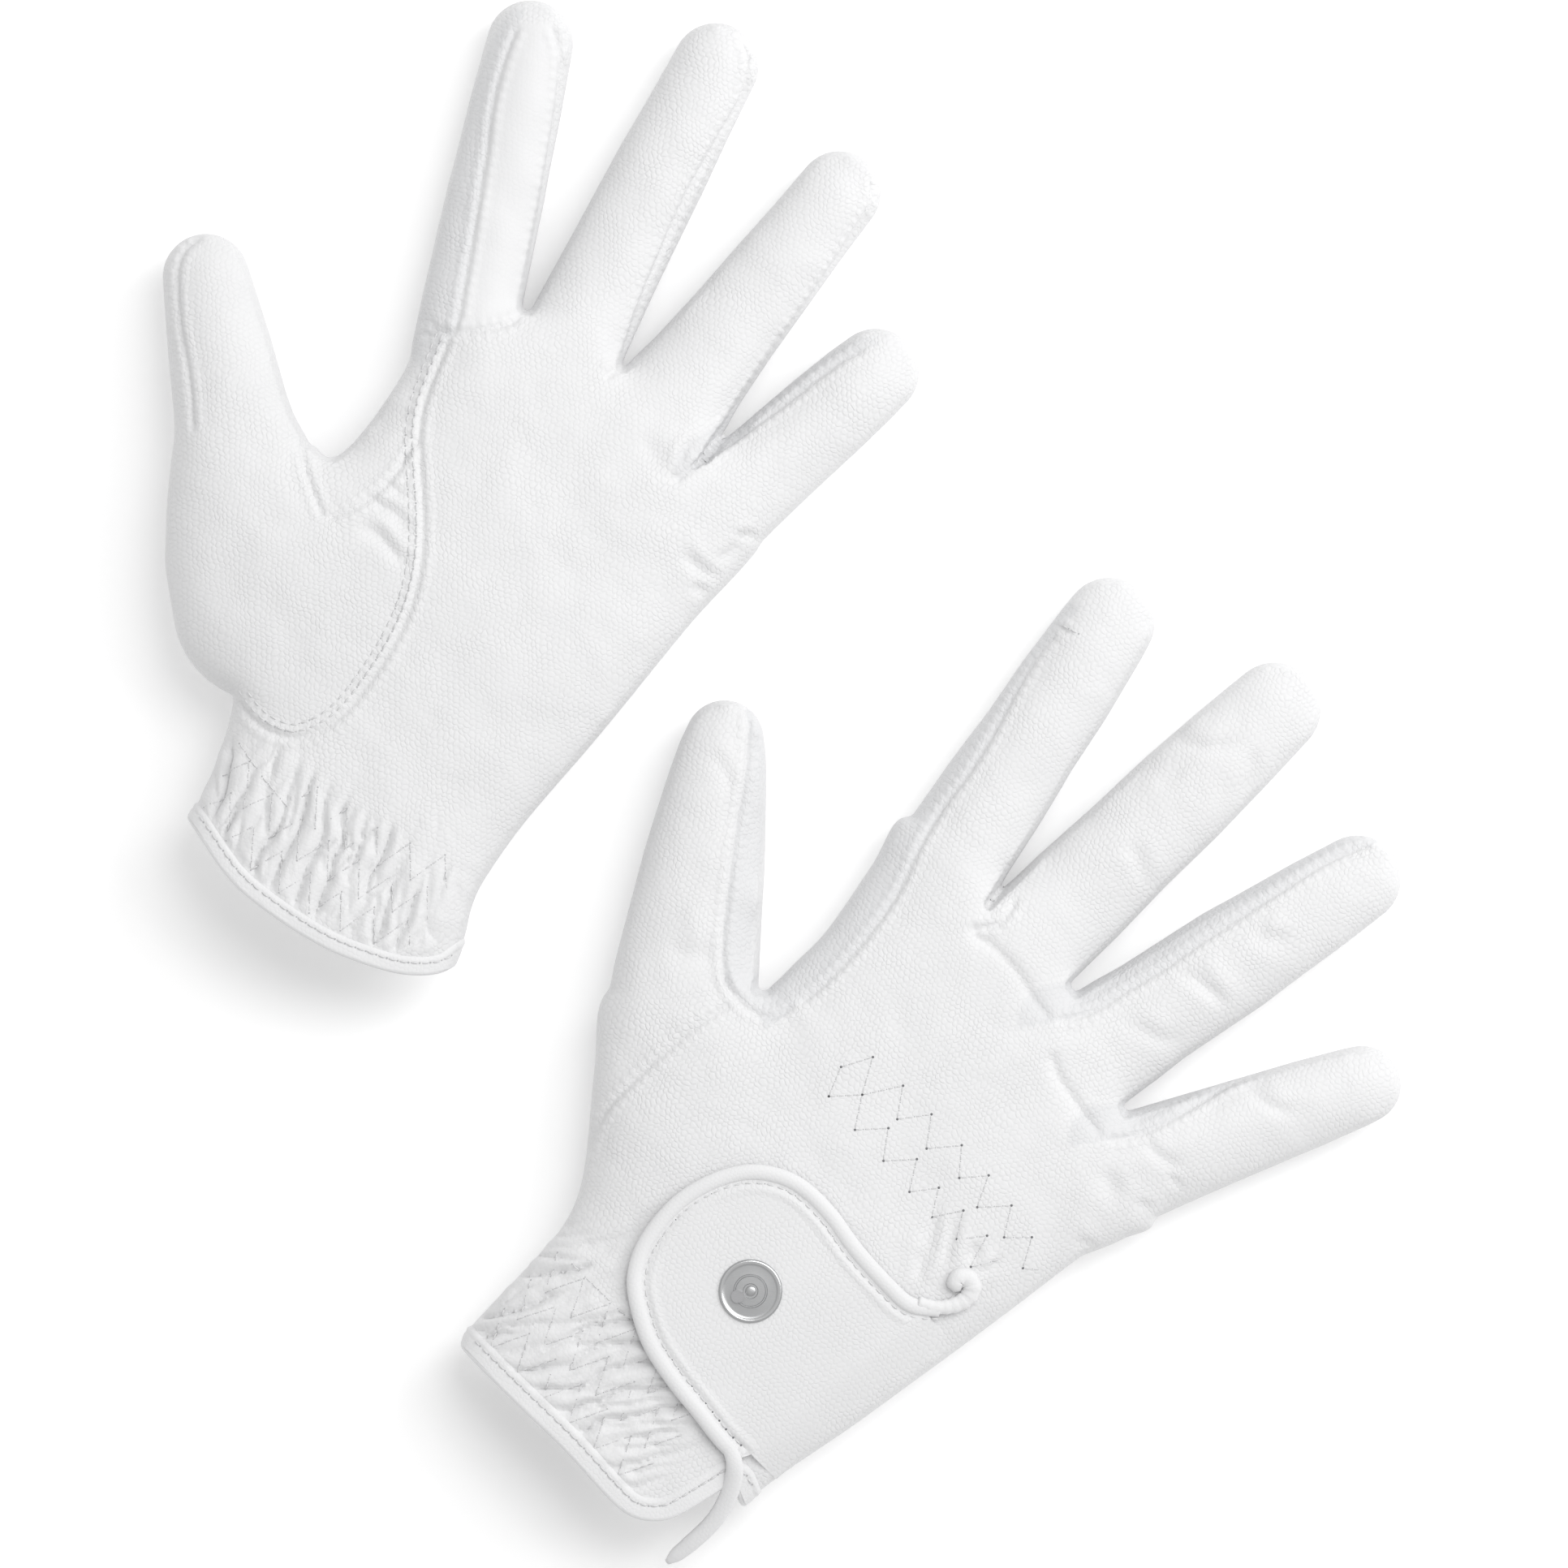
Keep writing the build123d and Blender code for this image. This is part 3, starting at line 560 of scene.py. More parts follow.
# Creases are (points, depth, width): a fold's valley with a raised lip beside it.
CREASES = {
    "left": [
        ([(-102.8, 71.4), (-96.2, 66.7), (-90.5, 61.2)], 1.0, 1.5),
        ([(-103.9, 64.3), (-97.8, 59.4), (-91.6, 52.9)], 1.1, 1.7),
        ([(-97.8, 74), (-91.6, 70.1)], 0.7, 1.2),
        ([(-101.6, 87), (-95.5, 90.9), (-90.8, 92.4)], 0.7, 1.8),
        ([(-89.3, 113.2), (-84.7, 112), (-80.8, 109.4)], 0.6, 1.2),
        ([(-25.5, 57), (-18.5, 50.9), (-14.7, 50.9)], 1.0, 1.5),
        ([(-23.9, 49.4), (-17.8, 46.3)], 0.8, 1.3), ([(-12.4, 59.7), (-6.2, 61.5)], 0.9, 1.2),
        ([(-16.7, 54), (-9.3, 59.4)], 0.8, 1.4),
        ([(-28.5, 76.7), (-26.2, 75.5), (-20.8, 78.6)], 1.1, 0.9),
        ([(-26.2, 76.7), (-23.9, 82.4), (-21.3, 85.5)], 0.8, 0.9),
        ([(-43.9, 100.1), (-39.8, 102)], 1.0, 1.0),
        ([(-35.5, 85.5), (-29.3, 77.8), (-26.2, 75.5)], 0.5, 2.2), ([(-17, 83), (-9, 88)], 0.5, 1.5),
    ],
    "right": [
        ([(96.2, 10.8), (104.2, 9.5), (113, 11.6)], 0.8, 2.0), ([(90.6, 1.2), (99.4, 2)], 0.4, 1.8),
        ([(85, -13.2), (88.2, -19.6), (89.8, -26)], 0.6, 2.0),
        ([(111.4, -3.6), (115.4, 2.8), (117, 9.2)], 0.6, 1.8),
        ([(97, -45.2), (103.4, -49.2), (109.8, -54.8)], 0.9, 1.8),
        ([(115.4, -34), (118.6, -38.8), (125, -37.2)], 0.8, 1.8),
        ([(83.4, -58), (91.4, -62), (99.4, -62.8)], 0.6, 2.0),
        ([(86.6, -86.8), (94.6, -92.4), (101, -94.8)], 0.7, 1.8),
        ([(113.8, -73.2), (120.2, -78.8), (128.2, -80.4)], 0.6, 1.6),
        ([(93, -96.4), (99.4, -98.8)], 0.6, 1.5), ([(78.6, -93.2), (82.6, -104.4)], 0.7, 2.0),
        ([(86.6, -102.8), (91.4, -106)], 0.5, 1.5), ([(70.6, -112.4), (77, -114)], 0.5, 1.4),
        ([(-19, 9.2), (-14.2, 2.8), (-12.6, -3.6)], 0.5, 1.8),
        ([(-28.6, -38.8), (-22.2, -42), (-15.8, -38.8)], 0.9, 3.5),
        ([(34.6, -114), (33.3, -122)], 0.9, 1.4),
        ([(38.6, -102.8), (36.2, -112.4), (34.9, -120.4)], 1.1, 1.6),
        ([(43.4, -104.4), (40.2, -114), (38.9, -120.4)], 1.2, 1.5),
        ([(48.2, -112.4), (45, -118)], 1.0, 1.4), ([(13, -147.6), (17, -144.7)], 0.8, 1.2),
        ([(6.6, -154), (10.6, -150.8)], 0.7, 1.1), ([(54, -116), (47.5, -121.5)], 0.7, 1.3),
        ([(-30, -104), (-44, -113), (-52, -112)], 0.9, 2.0), ([(-34, -108), (-42, -119)], 0.8, 1.8),
    ],
}
# Seams of the underside, in the glove's own frame, besides the two that run along each finger.
UNDER_SEAMS = {
    "left": [[(-46.2, 108), (-47, 92), (-52, 74), (-56, 60), (-58, 50)], [(-27, 148), (-20, 138),
                                                                          (-18, 132)],
             [(1.5, 147), (4, 137), (5, 130)], [(28.5, 136), (27, 126), (26, 120)]],
    "right": [[(-40, 134), (-26, 112), (-15, 88), (-8, 62), (-16, 42), (-34, 34)], [(-16, 165),
                                                                                    (-8, 156), (6, 156),
                                                                                    (14, 165)],
              [(14, 165), (22, 153), (36, 146), (44.7, 153)]],
}
# Distance of an underside finger seam from the middle line, as a share of the half width.
FINGER_SEAM = 0.66
# Where the wrist is gathered: (top above the cuff, limits to either side, slant of the folds, their spacing,
# height of a row of stitches).
GATHERS = {"left": (24.0, -40.0, 34.0, -0.16, 5.4, 9.0), "right": (38.0, -40.0, 27.0, 0.62, 6.4, 9.5)}


def bump_noise(xy, cell, seed):
    """Smooth value noise in -1..1."""
    table = np.random.default_rng(seed).uniform(-1, 1, (128, 128))
    g = xy / cell + 640
    i = np.floor(g).astype(int)
    f = g - i
    f = f * f * (3 - 2 * f)
    a, b = i.T % 128
    a1, b1 = (a + 1) % 128, (b + 1) % 128
    return ((table[a, b] * (1 - f[:, 0]) + table[a1, b] * f[:, 0]) * (1 - f[:, 1])
            + (table[a, b1] * (1 - f[:, 0]) + table[a1, b1] * f[:, 0]) * f[:, 1])


def rise_between(x, low, high):
    """0 below low, 1 above high, and smooth between."""
    t = np.clip((x - low) / (high - low), 0, 1)
    return t * t * (3 - 2 * t)


def tapered(along, length, ends):
    """1 along a line, falling to 0 at both of its ends."""
    return np.clip(along / ends, 0, 1) * np.clip((length - along) / ends, 0, 1)


def line_length(line):
    return float(np.hypot(*np.diff(line, axis=0).T).sum())


def cuff_field(fill, xy):
    """Distance from the cuff's edge, positive towards the fingers."""
    line = smooth_line(GLOVES[fill.name]["cuff_edge"], 1.5)
    dist, side, _ = line_field(xy, line)
    _, inner, _ = line_field(fill.plan([(0, 60)]), line)
    return dist * side * inner[0]


def gather_area(fill, xy):
    """Share of gathering at points, with a ragged upper edge."""
    high, left, right = GATHERS[fill.name][:3]
    p = fill.pattern(xy)
    edge = cuff_field(fill, xy)
    ragged = 4 * bump_noise(xy, 9, 5) + 3 * bump_noise(xy, 4.5, 6)
    return (rise_between(edge, 3.5, 6.0) * (1 - rise_between(p[:, 1] + ragged, high - 7, high + 4))
            * rise_between(p[:, 0], left - 3, left + 3) * (1 - rise_between(p[:, 0], right - 9, right + 2)))


def fold_family(p, slant, spacing, seed):
    """Long ruffles across a slant: 0 in their narrow valleys, 1 on their rounded backs, fading in places."""
    across = p[:, 0] - slant * p[:, 1]
    phase = across / spacing + 0.30 * bump_noise(p, 11.0, seed) + 0.12 * bump_noise(p, 4.5, seed + 1)
    back = np.abs(np.sin(np.pi * phase)) ** 0.62
    stretched = np.stack([np.floor(phase + 0.5) * 7.3, p[:, 1] * 0.26], 1)
    depth = 0.25 + 0.75 * rise_between(bump_noise(stretched, 4.0, seed + 2), -0.6, 0.2)
    return 1 - depth * (1 - back)


def gathered(fill, xy):
    """Folds of the elasticated wrist: three families of ruffles that run into each other."""
    slant, spacing = GATHERS[fill.name][3:5]
    p = fill.pattern(xy)
    area = gather_area(fill, xy)
    first = fold_family(p, slant, spacing, 3)
    second = fold_family(p, slant + 0.30, spacing * 1.15, 51)
    third = fold_family(p, slant - 0.34, spacing * 1.45, 71)
    folds = np.minimum(np.minimum(first, 0.42 + 0.58 * second), 0.5 + 0.5 * third)
    small = 0.16 * bump_noise(xy, 2.6, 8) + 0.22 * bump_noise(xy, 6.0, 9)
    return area, area * (2.6 * folds - 1.75 + small)


def sewn(xy, points, soft):
    """Relief of one seam: a groove between two swellings that pucker with the stitches."""
    line = smooth_line(points, 2.0)
    dist, side, along = line_field(xy, line, 9)
    ends = tapered(along, line_length(line), 2.5)
    groove = -0.55 * np.exp(-(dist / (0.60 * soft)) ** 2)
    swell = 0.32 / soft**2 * np.exp(-((dist - 1.7 * soft) / (1.0 * soft)) ** 2)
    puckers = 0.11 * np.sin(along * 2 * np.pi / 2.7 + side) * np.exp(-((dist - 1.6) / 1.2) ** 2)
    fall = -0.40 * np.exp(-(dist / 4.2) ** 2)
    return ends * (groove + swell + puckers + fall)


def creased(xy, points, depth, width):
    """Relief of one crease, whose course strays a little from its points."""
    line = smooth_line(points, 1.5)
    strayed = xy + 0.9 * np.stack([bump_noise(xy, 5.5, 61), bump_noise(xy, 5.5, 62)], 1)
    dist, side, along = line_field(strayed, line, 5 * width + 3)
    share = np.clip(along / line_length(line), 0, 1)
    ends = np.clip(np.minimum(share, 1 - share) * 3, 0.0, 1)
    valley = -0.85 * depth * np.exp(-(dist / (1.15 * width)) ** 2)
    lip = 0.42 * depth * np.exp(-((dist - 2.1 * width) / (1.5 * width)) ** 2) * (0.6 + 0.4 * side)
    return ends * (valley + lip)


def relief(fill, xy):
    """How far the upper skin stands off the smooth fill, in millimetres."""
    made = np.zeros(len(xy))
    for name, points in SEAMS[fill.name].items():
        made += sewn(xy, points, 1.8 if name in SOFT_SEAMS else 1.0)
    for points, depth, width in CREASES[fill.name]:
        made += creased(xy, points, depth, width)
    area, folds = gathered(fill, xy)
    loose = 0.34 * bump_noise(xy, 17, 11) + 0.18 * bump_noise(xy, 7.5, 12) + 0.06 * bump_noise(xy, 3.2, 13)
    return made + folds + (1 - area) * loose * rise_between(fill.sample(fill.depth, xy), 0, 6)


def finger_sides(finger):
    """The two underside seams of a finger, as points."""
    points, radii = finger_line(finger)
    points, radii = points[14::12], radii[14::12]
    tangent = np.gradient(points, axis=0)
    tangent /= np.linalg.norm(tangent, axis=1)[:, None]
    normal = np.stack([-tangent[:, 1], tangent[:, 0]], 1)
    return [points + k * FINGER_SEAM * radii[:, None] * normal for k in (-1, 1)]


def under_lines(fill):
    """All seams of the underside, as plan points."""
    lines = [fill.plan(points) for points in UNDER_SEAMS[fill.name]]
    for finger in fill.fingers.values():
        lines += finger_sides(finger)
    return lines


def under_relief(fill, xy):
    """How far the lower skin stands off the smooth fill, in millimetres."""
    made = sum(sewn(xy, points, 1.0) for points in under_lines(fill))
    area, folds = gathered(fill, xy)
    return made + 0.7 * folds + (1 - area) * 0.25 * bump_noise(xy, 14, 21)


def carve(fill, skin):
    """Moves the skin by the relief, and keeps normals, the share of painted shade on the side walls and
    grain strength with its points.
    """
    _, slope = fill.value(skin.points)
    normal = slope / np.maximum(np.linalg.norm(slope, axis=1), 1e-9)[:, None]
    xy = skin.points[:, :2]
    upper = relief(fill, xy) * rise_between(normal[:, 2], 0.02, 0.35)
    lower = under_relief(fill, xy) * rise_between(-normal[:, 2], 0.02, 0.35)
    lift = upper + lower
    lift = np.where(normal[:, 2] < -0.3, np.minimum(lift, 0.1), lift)
    skin.points = skin.points + normal * lift[:, None]
    skin.values["normal"] = vertex_normals(skin.points, skin.tris)
    # Painted shade: the side walls beside some seams are marked to be coloured darker.
    skin.values["wall"] = painted_wall_shade_share(fill, xy) * rise_between(normal[:, 2], -0.2, 0.3)
    skin.values["grain"] = grain_share(fill, xy)


# Strips of painted shade on the slanted side walls beside a seam: (seam, side, width at its start, width at
# its end).
PAINTED_SHADE_WALLS = {
    "left": [("index_wall", 1, 10.5, 4.0), ("little_wall", 1, 6.0, 3.0)],
    "right": [("index_wall", 1, 9.5, 7.0), ("thumb_seam", 1, 7.0, 7.0), ("ring_wall", 1, 9.0, 5.0),
              ("little_wall", 1, 9.0, 5.0)],
}


def painted_wall_shade_share(fill, xy):
    """1 on the strips of painted wall shade and 0 elsewhere."""
    share = np.zeros(len(xy))
    for name, which, first, last in PAINTED_SHADE_WALLS[fill.name]:
        line = smooth_line(SEAMS[fill.name][name], 2.0)
        dist, side, along = line_field(xy, line, 14)
        width = first + (last - first) * along / line_length(line)
        inside = (side * which > 0) & (dist < 13)
        share = np.maximum(share, np.where(inside, 1 - rise_between(dist, width - 0.8, width + 0.8), 0))
    return share


def grain_share(fill, xy):
    """Strength of the pebbled grain: full on most panels, faint where the leather is pulled tight."""
    share = 0.85 + 0.15 * bump_noise(xy, 22, 31)
    if fill.name == "left":
        front = np.vstack([SEAMS["left"]["index_wall"], SEAMS["left"]["index_inner"][::-1]])
        share *= 1 - 0.75 * rise_between(polygon_depth(xy, front), -0.5, 0.5)
    return np.clip(share * (1 - 0.55 * gather_area(fill, xy)), 0, 1)


# ---------------------------------------------------------------- materials

HEX_ROW = math.sqrt(3) / 2  # distance between rows of a six-sided pattern


class Tree:
    """Short calls for building a material's nodes."""

    def __init__(self, name):
        self.material = bpy.data.materials.new(name)
        self.material.use_nodes = True
        self.tree = self.material.node_tree
        self.shader = self.tree.nodes["Principled BSDF"]

    def node(self, kind, **settings):
        made = self.tree.nodes.new(kind)
        for key, value in settings.items():
            setattr(made, key, value)
        return made

    def link(self, source, target):
        self.tree.links.new(source, target)

    def feed(self, socket, value):
        if isinstance(value, bpy.types.NodeSocket):
            self.link(value, socket)
        else:
            socket.default_value = value

    def math(self, operation, *values):
        made = self.node("ShaderNodeMath", operation=operation)
        for socket, value in zip(made.inputs, values):
            self.feed(socket, value)
        return made.outputs[0]

    def vector(self, operation, *values):
        made = self.node("ShaderNodeVectorMath", operation=operation)
        for socket, value in zip(made.inputs, values):
            self.feed(socket, value)
        return made.outputs["Value"] if operation in ("LENGTH", "DOT_PRODUCT") else made.outputs["Vector"]

    def scaled(self, vector, scale):
        made = self.node("ShaderNodeVectorMath", operation="SCALE")
        self.link(vector, made.inputs[0])
        made.inputs["Scale"].default_value = scale
        return made.outputs["Vector"]

    def noise(self, vector, scale, detail=2.0, colour=False):
        made = self.node("ShaderNodeTexNoise")
        self.link(vector, made.inputs["Vector"])
        made.inputs["Scale"].default_value = scale
        made.inputs["Detail"].default_value = detail
        return made.outputs["Color" if colour else "Fac"]

    def attribute(self, name):
        return self.node("ShaderNodeAttribute", attribute_name=name).outputs["Fac"]

    def between(self, value, low, high):
        """Maps low..high of a value to 0..1."""
        made = self.node("ShaderNodeMapRange", interpolation_type="SMOOTHSTEP")
        self.link(value, made.inputs["Value"])
        made.inputs["From Min"].default_value = low
        made.inputs["From Max"].default_value = high
        return made.outputs["Result"]

    def spread(self, value, low, high):
        """Maps 0..1 to low..high."""
        return self.math("MULTIPLY_ADD", value, high - low, low)

    def mix(self, share, first, second):
        made = self.node("ShaderNodeMix", data_type="RGBA")
        self.feed(made.inputs["Factor"], share)
        colours = [s for s in made.inputs if s.type == "RGBA"]
        self.feed(colours[0], first)
        self.feed(colours[1], second)
        return [s for s in made.outputs if s.type == "RGBA"][0]

    def uv(self):
        return self.node("ShaderNodeUVMap", uv_map="grain_uv").outputs["UV"]

    def bump(self, height, distance):
        made = self.node("ShaderNodeBump")
        made.inputs["Distance"].default_value = distance
        made.inputs["Strength"].default_value = 1.0
        self.link(height, made.inputs["Height"])
        return made.outputs["Normal"]

    def cells(self, vector, size, jitter):
        """Height of rounded six-sided grains, 1 on a grain and 0 between. The vector is in millimetres."""
        p = self.scaled(vector, 1 / size)
        for scale, share in ((0.16, 2.6), (0.75, 1.0)):
            noise = self.noise(p, scale, 1.0, colour=True)
            off = self.scaled(self.vector("SUBTRACT", noise, (0.5, 0.5, 0.5)), share * jitter)
            p = self.vector("ADD", p, off)
        p = self.vector("MULTIPLY", p, (1, 1, 0))
        near = []
        for shift in ((0, 0, 0), (0.5, HEX_ROW, 0)):
            moved = self.vector("ADD", p, shift)
            folded = self.vector("WRAP", moved, (0.5, HEX_ROW, 1.0), (-0.5, -HEX_ROW, -1.0))
            near.append(self.vector("LENGTH", folded))
        return self.math("SUBTRACT", 1.0, self.between(self.math("MINIMUM", *near), 0.22, 0.56))


def leather(name, colour, wall_colour=None, size=1.5, height=0.00012, rough=(0.50, 0.66)):
    """White synthetic leather with pebbled grain. Grain strength and the painted shade of the side walls
    come from the mesh.
    """
    t = Tree(name)
    uv = t.uv()
    grains = t.cells(uv, size, 0.9)
    patchy = t.between(t.noise(uv, 0.11, 2.0), 0.25, 0.7)
    strength = t.math("MULTIPLY", t.attribute("grain"), t.spread(patchy, 0.55, 1.0))
    fine = t.noise(uv, 2.6, 3.0)
    broad = t.noise(uv, 0.05, 2.0)
    relief_height = t.math("ADD", t.math("MULTIPLY", grains, strength), t.math("MULTIPLY", fine, 0.35))
    t.link(t.bump(relief_height, height), t.shader.inputs["Normal"])
    shade = t.mix(t.between(broad, 0.3, 0.7), (*colour, 1), (*[c * 0.975 for c in colour], 1))
    # Painted shade: the valleys between the grains are darkened.
    valley = t.math("MULTIPLY", t.math("SUBTRACT", 1.0, grains), t.math("MULTIPLY", strength, 0.5))
    shade = t.mix(valley, shade, (*[c * 0.94 for c in colour], 1))
    # Painted shade: the side-wall strips are darkened towards a second colour.
    if wall_colour:
        shade = t.mix(t.attribute("wall"), shade, (*wall_colour, 1))
    t.link(shade, t.shader.inputs["Base Color"])
    wear = t.math("ADD", t.math("MULTIPLY", grains, -0.10), t.math("MULTIPLY", broad, 0.9))
    t.link(t.spread(wear, *rough), t.shader.inputs["Roughness"])
    t.shader.inputs["Specular IOR Level"].default_value = 0.30
    return t.material


THREAD_BUMP = 0.000088


def thread_material(name, colour):
    """Bonded polyester thread: a fine twist and a soft gloss."""
    t = Tree(name)
    where = t.node("ShaderNodeTexCoord").outputs["Object"]
    fine = t.noise(where, 3000.0, 2.0)
    t.link(t.mix(fine, (*colour, 1), (*[c * 0.86 for c in colour], 1)), t.shader.inputs["Base Color"])
    t.link(t.bump(fine, THREAD_BUMP), t.shader.inputs["Normal"])
    t.link(t.spread(fine, 0.40, 0.60), t.shader.inputs["Roughness"])
    return t.material


def cloth_material(name, colour, count, height=0.00012):
    """Knitted or woven cloth. A larger count gives finer threads."""
    t = Tree(name)
    uv = t.uv()
    warp = t.node("ShaderNodeTexWave", wave_type="BANDS", bands_direction="X")
    weft = t.node("ShaderNodeTexWave", wave_type="BANDS", bands_direction="Y")
    for wave in (warp, weft):
        t.link(uv, wave.inputs["Vector"])
        wave.inputs["Scale"].default_value = count
        wave.inputs["Distortion"].default_value = 0.6
    threads = t.math("MULTIPLY", warp.outputs["Fac"], weft.outputs["Fac"])
    t.link(t.bump(threads, height), t.shader.inputs["Normal"])
    t.link(t.mix(threads, (*[c * 0.86 for c in colour], 1), (*colour, 1)), t.shader.inputs["Base Color"])
    t.link(t.spread(t.noise(uv, 1.3), 0.75, 0.95), t.shader.inputs["Roughness"])
    t.shader.inputs["Sheen Weight"].default_value = 0.25
    return t.material


def metal_material(name, colour, rough, own_place=False):
    """Brushed metal with fine lines along the grain coordinates, or along the object's own axes."""
    t = Tree(name)
    uv = t.scaled(t.node("ShaderNodeTexCoord").outputs["Object"], 1 / MM) if own_place else t.uv()
    lines = t.noise(t.vector("MULTIPLY", uv, (0.6, 14.0, 1.0)), 1.0, 4.0)
    blotch = t.noise(uv, 0.35, 2.0)
    t.link(t.mix(lines, (*colour, 1), (*[c * 0.72 for c in colour], 1)), t.shader.inputs["Base Color"])
    t.link(t.bump(lines, 0.00001), t.shader.inputs["Normal"])
    wear = t.math("ADD", t.math("MULTIPLY", lines, 0.7), t.math("MULTIPLY", blotch, 0.3))
    t.link(t.spread(wear, rough - 0.08, rough + 0.10), t.shader.inputs["Roughness"])
    t.shader.inputs["Metallic"].default_value = 1.0
    return t.material


WHITE = (0.765, 0.765, 0.77)
# The second colour is painted shade for the slanted side walls.
SKIN = leather("white_grain_leather", WHITE, wall_colour=(0.70, 0.702, 0.71))
TRIM = leather("white_trim_leather", (0.775, 0.775, 0.78), size=1.2, height=0.00008)
THREAD = thread_material("white_thread", (0.73, 0.73, 0.735))
# Needle holes and pricks are small discs coloured dark and grey as painted shade inside the holes.
HOLE_SHADE = thread_material("needle_holes", (0.16, 0.16, 0.17))
PRICK_SHADE = thread_material("stitch_ends", (0.50, 0.50, 0.51))
LINING = cloth_material("white_knit_lining", (0.72, 0.72, 0.73), 1.4)
FASTENER = cloth_material("touch_fastener", (0.86, 0.86, 0.865), 1.0, 0.00014)
BADGE = metal_material("brushed_gunmetal", (0.55, 0.555, 0.56), 0.34)
RIM = metal_material("bright_rim", (0.74, 0.745, 0.75), 0.22)
POST = metal_material("rivet_metal", (0.55, 0.55, 0.56), 0.30, own_place=True)

# ---------------------------------------------------------------- objects

SHIFT = np.array([-0.512, -0.328, 0.0])  # from the plan's middle to the frame's origin


def add_mesh(name, points, tris, materials, numbers=None, normals=None, uv=None, values=None):
    """A smooth mesh object from millimetre arrays. numbers picks each triangle's material."""
    mesh = bpy.data.meshes.new(name)
    mesh.vertices.add(len(points))
    mesh.vertices.foreach_set("co", ((points + SHIFT) * MM).astype(np.float32).ravel())
    mesh.loops.add(tris.size)
    mesh.loops.foreach_set("vertex_index", tris.astype(np.int32).ravel())
    mesh.polygons.add(len(tris))
    mesh.polygons.foreach_set("loop_start", np.arange(0, tris.size, 3, dtype=np.int32))
    mesh.polygons.foreach_set("loop_total", np.full(len(tris), 3, np.int32))
    mesh.polygons.foreach_set("use_smooth", np.ones(len(tris), bool))
    for material in materials:
        mesh.materials.append(material)
    if numbers is not None:
        mesh.polygons.foreach_set("material_index", numbers.astype(np.int32))
    mesh.update(calc_edges=True)
    if uv is None:
        uv = points[tris.ravel(), :2]
    mesh.uv_layers.new(name="grain_uv").data.foreach_set("uv", uv.astype(np.float32).ravel())
    for key, value in (values or {}).items():
        mesh.attributes.new(key, "FLOAT", "POINT").data.foreach_set("value", value.astype(np.float32))
    if normals is not None:
        mesh.normals_split_custom_set_from_vertices(normals.astype(np.float32))
    obj = bpy.data.objects.new(name, mesh)
    bpy.context.scene.collection.objects.link(obj)
    return obj


def box_uv(fill, points, tris):
    """Grain coordinates in millimetres: the plan on level faces, and length against height on walls."""
    a, b, c = points[tris[:, 0]], points[tris[:, 1]], points[tris[:, 2]]
    face = np.cross(b - a, c - a)
    face /= np.maximum(np.linalg.norm(face, axis=1), 1e-12)[:, None]
    p = fill.pattern(points[:, :2])[tris]
    z = points[:, 2][tris]
    level = (np.abs(face[:, 2]) > 0.5)[:, None]
    lengthways = (np.abs(face[:, :2] @ fill.across) >= np.abs(face[:, :2] @ fill.up))[:, None]
    u = np.where(level, p[..., 0], np.where(lengthways, z, p[..., 0]))
    v = np.where(level, p[..., 1], np.where(lengthways, p[..., 1], z))
    return np.stack([u, v], -1).reshape(-1, 2)


def tube(points, radius, sides=10, closed=False, flat=1.0, ups=None):
    """Points and triangles of a tube. flat squashes it along its up direction."""
    p = np.asarray(points, float)
    n = len(p)
    tangent = np.roll(p, -1, 0) - np.roll(p, 1, 0) if closed else np.gradient(p, axis=0)
    tangent /= np.maximum(np.linalg.norm(tangent, axis=1), 1e-9)[:, None]
    up = np.tile([0, 0, 1.0], (n, 1)) if ups is None else ups
    sideways = np.cross(tangent, up)
    sideways /= np.maximum(np.linalg.norm(sideways, axis=1), 1e-9)[:, None]
    up = np.cross(sideways, tangent)
    radius = np.broadcast_to(radius, n)
    angles = np.arange(sides) * 2 * np.pi / sides
    level, rising = np.cos(angles)[None, :, None], (np.sin(angles) * flat)[None, :, None]
    ring = sideways[:, None] * level + up[:, None] * rising
    made = (p[:, None] + ring * radius[:, None, None]).reshape(-1, 3)
    rows = n if closed else n - 1
    i, j = [k.ravel() for k in np.meshgrid(np.arange(rows), np.arange(sides), indexing="ij")]
    a, b = i * sides + j, i * sides + (j + 1) % sides
    c, d = ((i + 1) % n) * sides + (j + 1) % sides, ((i + 1) % n) * sides + j
    tris = np.vstack([np.stack([a, c, b], 1), np.stack([a, d, c], 1)])
    if not closed:
        for start, flip in ((0, False), ((n - 1) * sides, True)):
            k = np.arange(1, sides - 1)
            cap = np.stack([np.full(sides - 2, start), start + k, start + k + 1], 1)
            tris = np.vstack([tris, cap[:, ::-1] if flip else cap])
    return made, tris


def merged(parts):
    """One mesh out of a list of (points, triangles)."""
    points, tris, start = [], [], 0
    for p, t in parts:
        points.append(p)
        tris.append(t + start)
        start += len(p)
    return np.vstack(points), np.vstack(tris)


THREAD_RADIUS = 0.23
STITCH, PITCH = 1.95, 2.7


def capsule(centre, direction, up, length=STITCH, radius=THREAD_RADIUS):
    """One stitch: a short thread that dips into the leather at both ends."""
    t = np.array([-0.5, -0.3, 0, 0.3, 0.5])
    radii = radius * np.array([0.5, 0.95, 1, 0.95, 0.5])
    dip = np.array([-0.28, 0.0, 0.08, 0.0, -0.28])
    points = centre + direction * (t * length)[:, None] + up * dip[:, None]
    return tube(points, radii, 6, ups=np.tile(up, (5, 1)))


def disc(centre, up, radius=0.30, sides=7):
    """A needle hole: a small disc, raised a little in its middle."""
    first = np.cross(up, [0.3, 0.9, 0.1])
    first /= np.linalg.norm(first)
    second = np.cross(up, first)
    a = np.arange(sides) * 2 * np.pi / sides
    ring = centre + radius * (np.cos(a)[:, None] * first + np.sin(a)[:, None] * second)
    k = np.arange(sides)
    return np.vstack([ring, centre + up * 0.05]), np.stack([k, (k + 1) % sides, np.full(sides, sides)], 1)


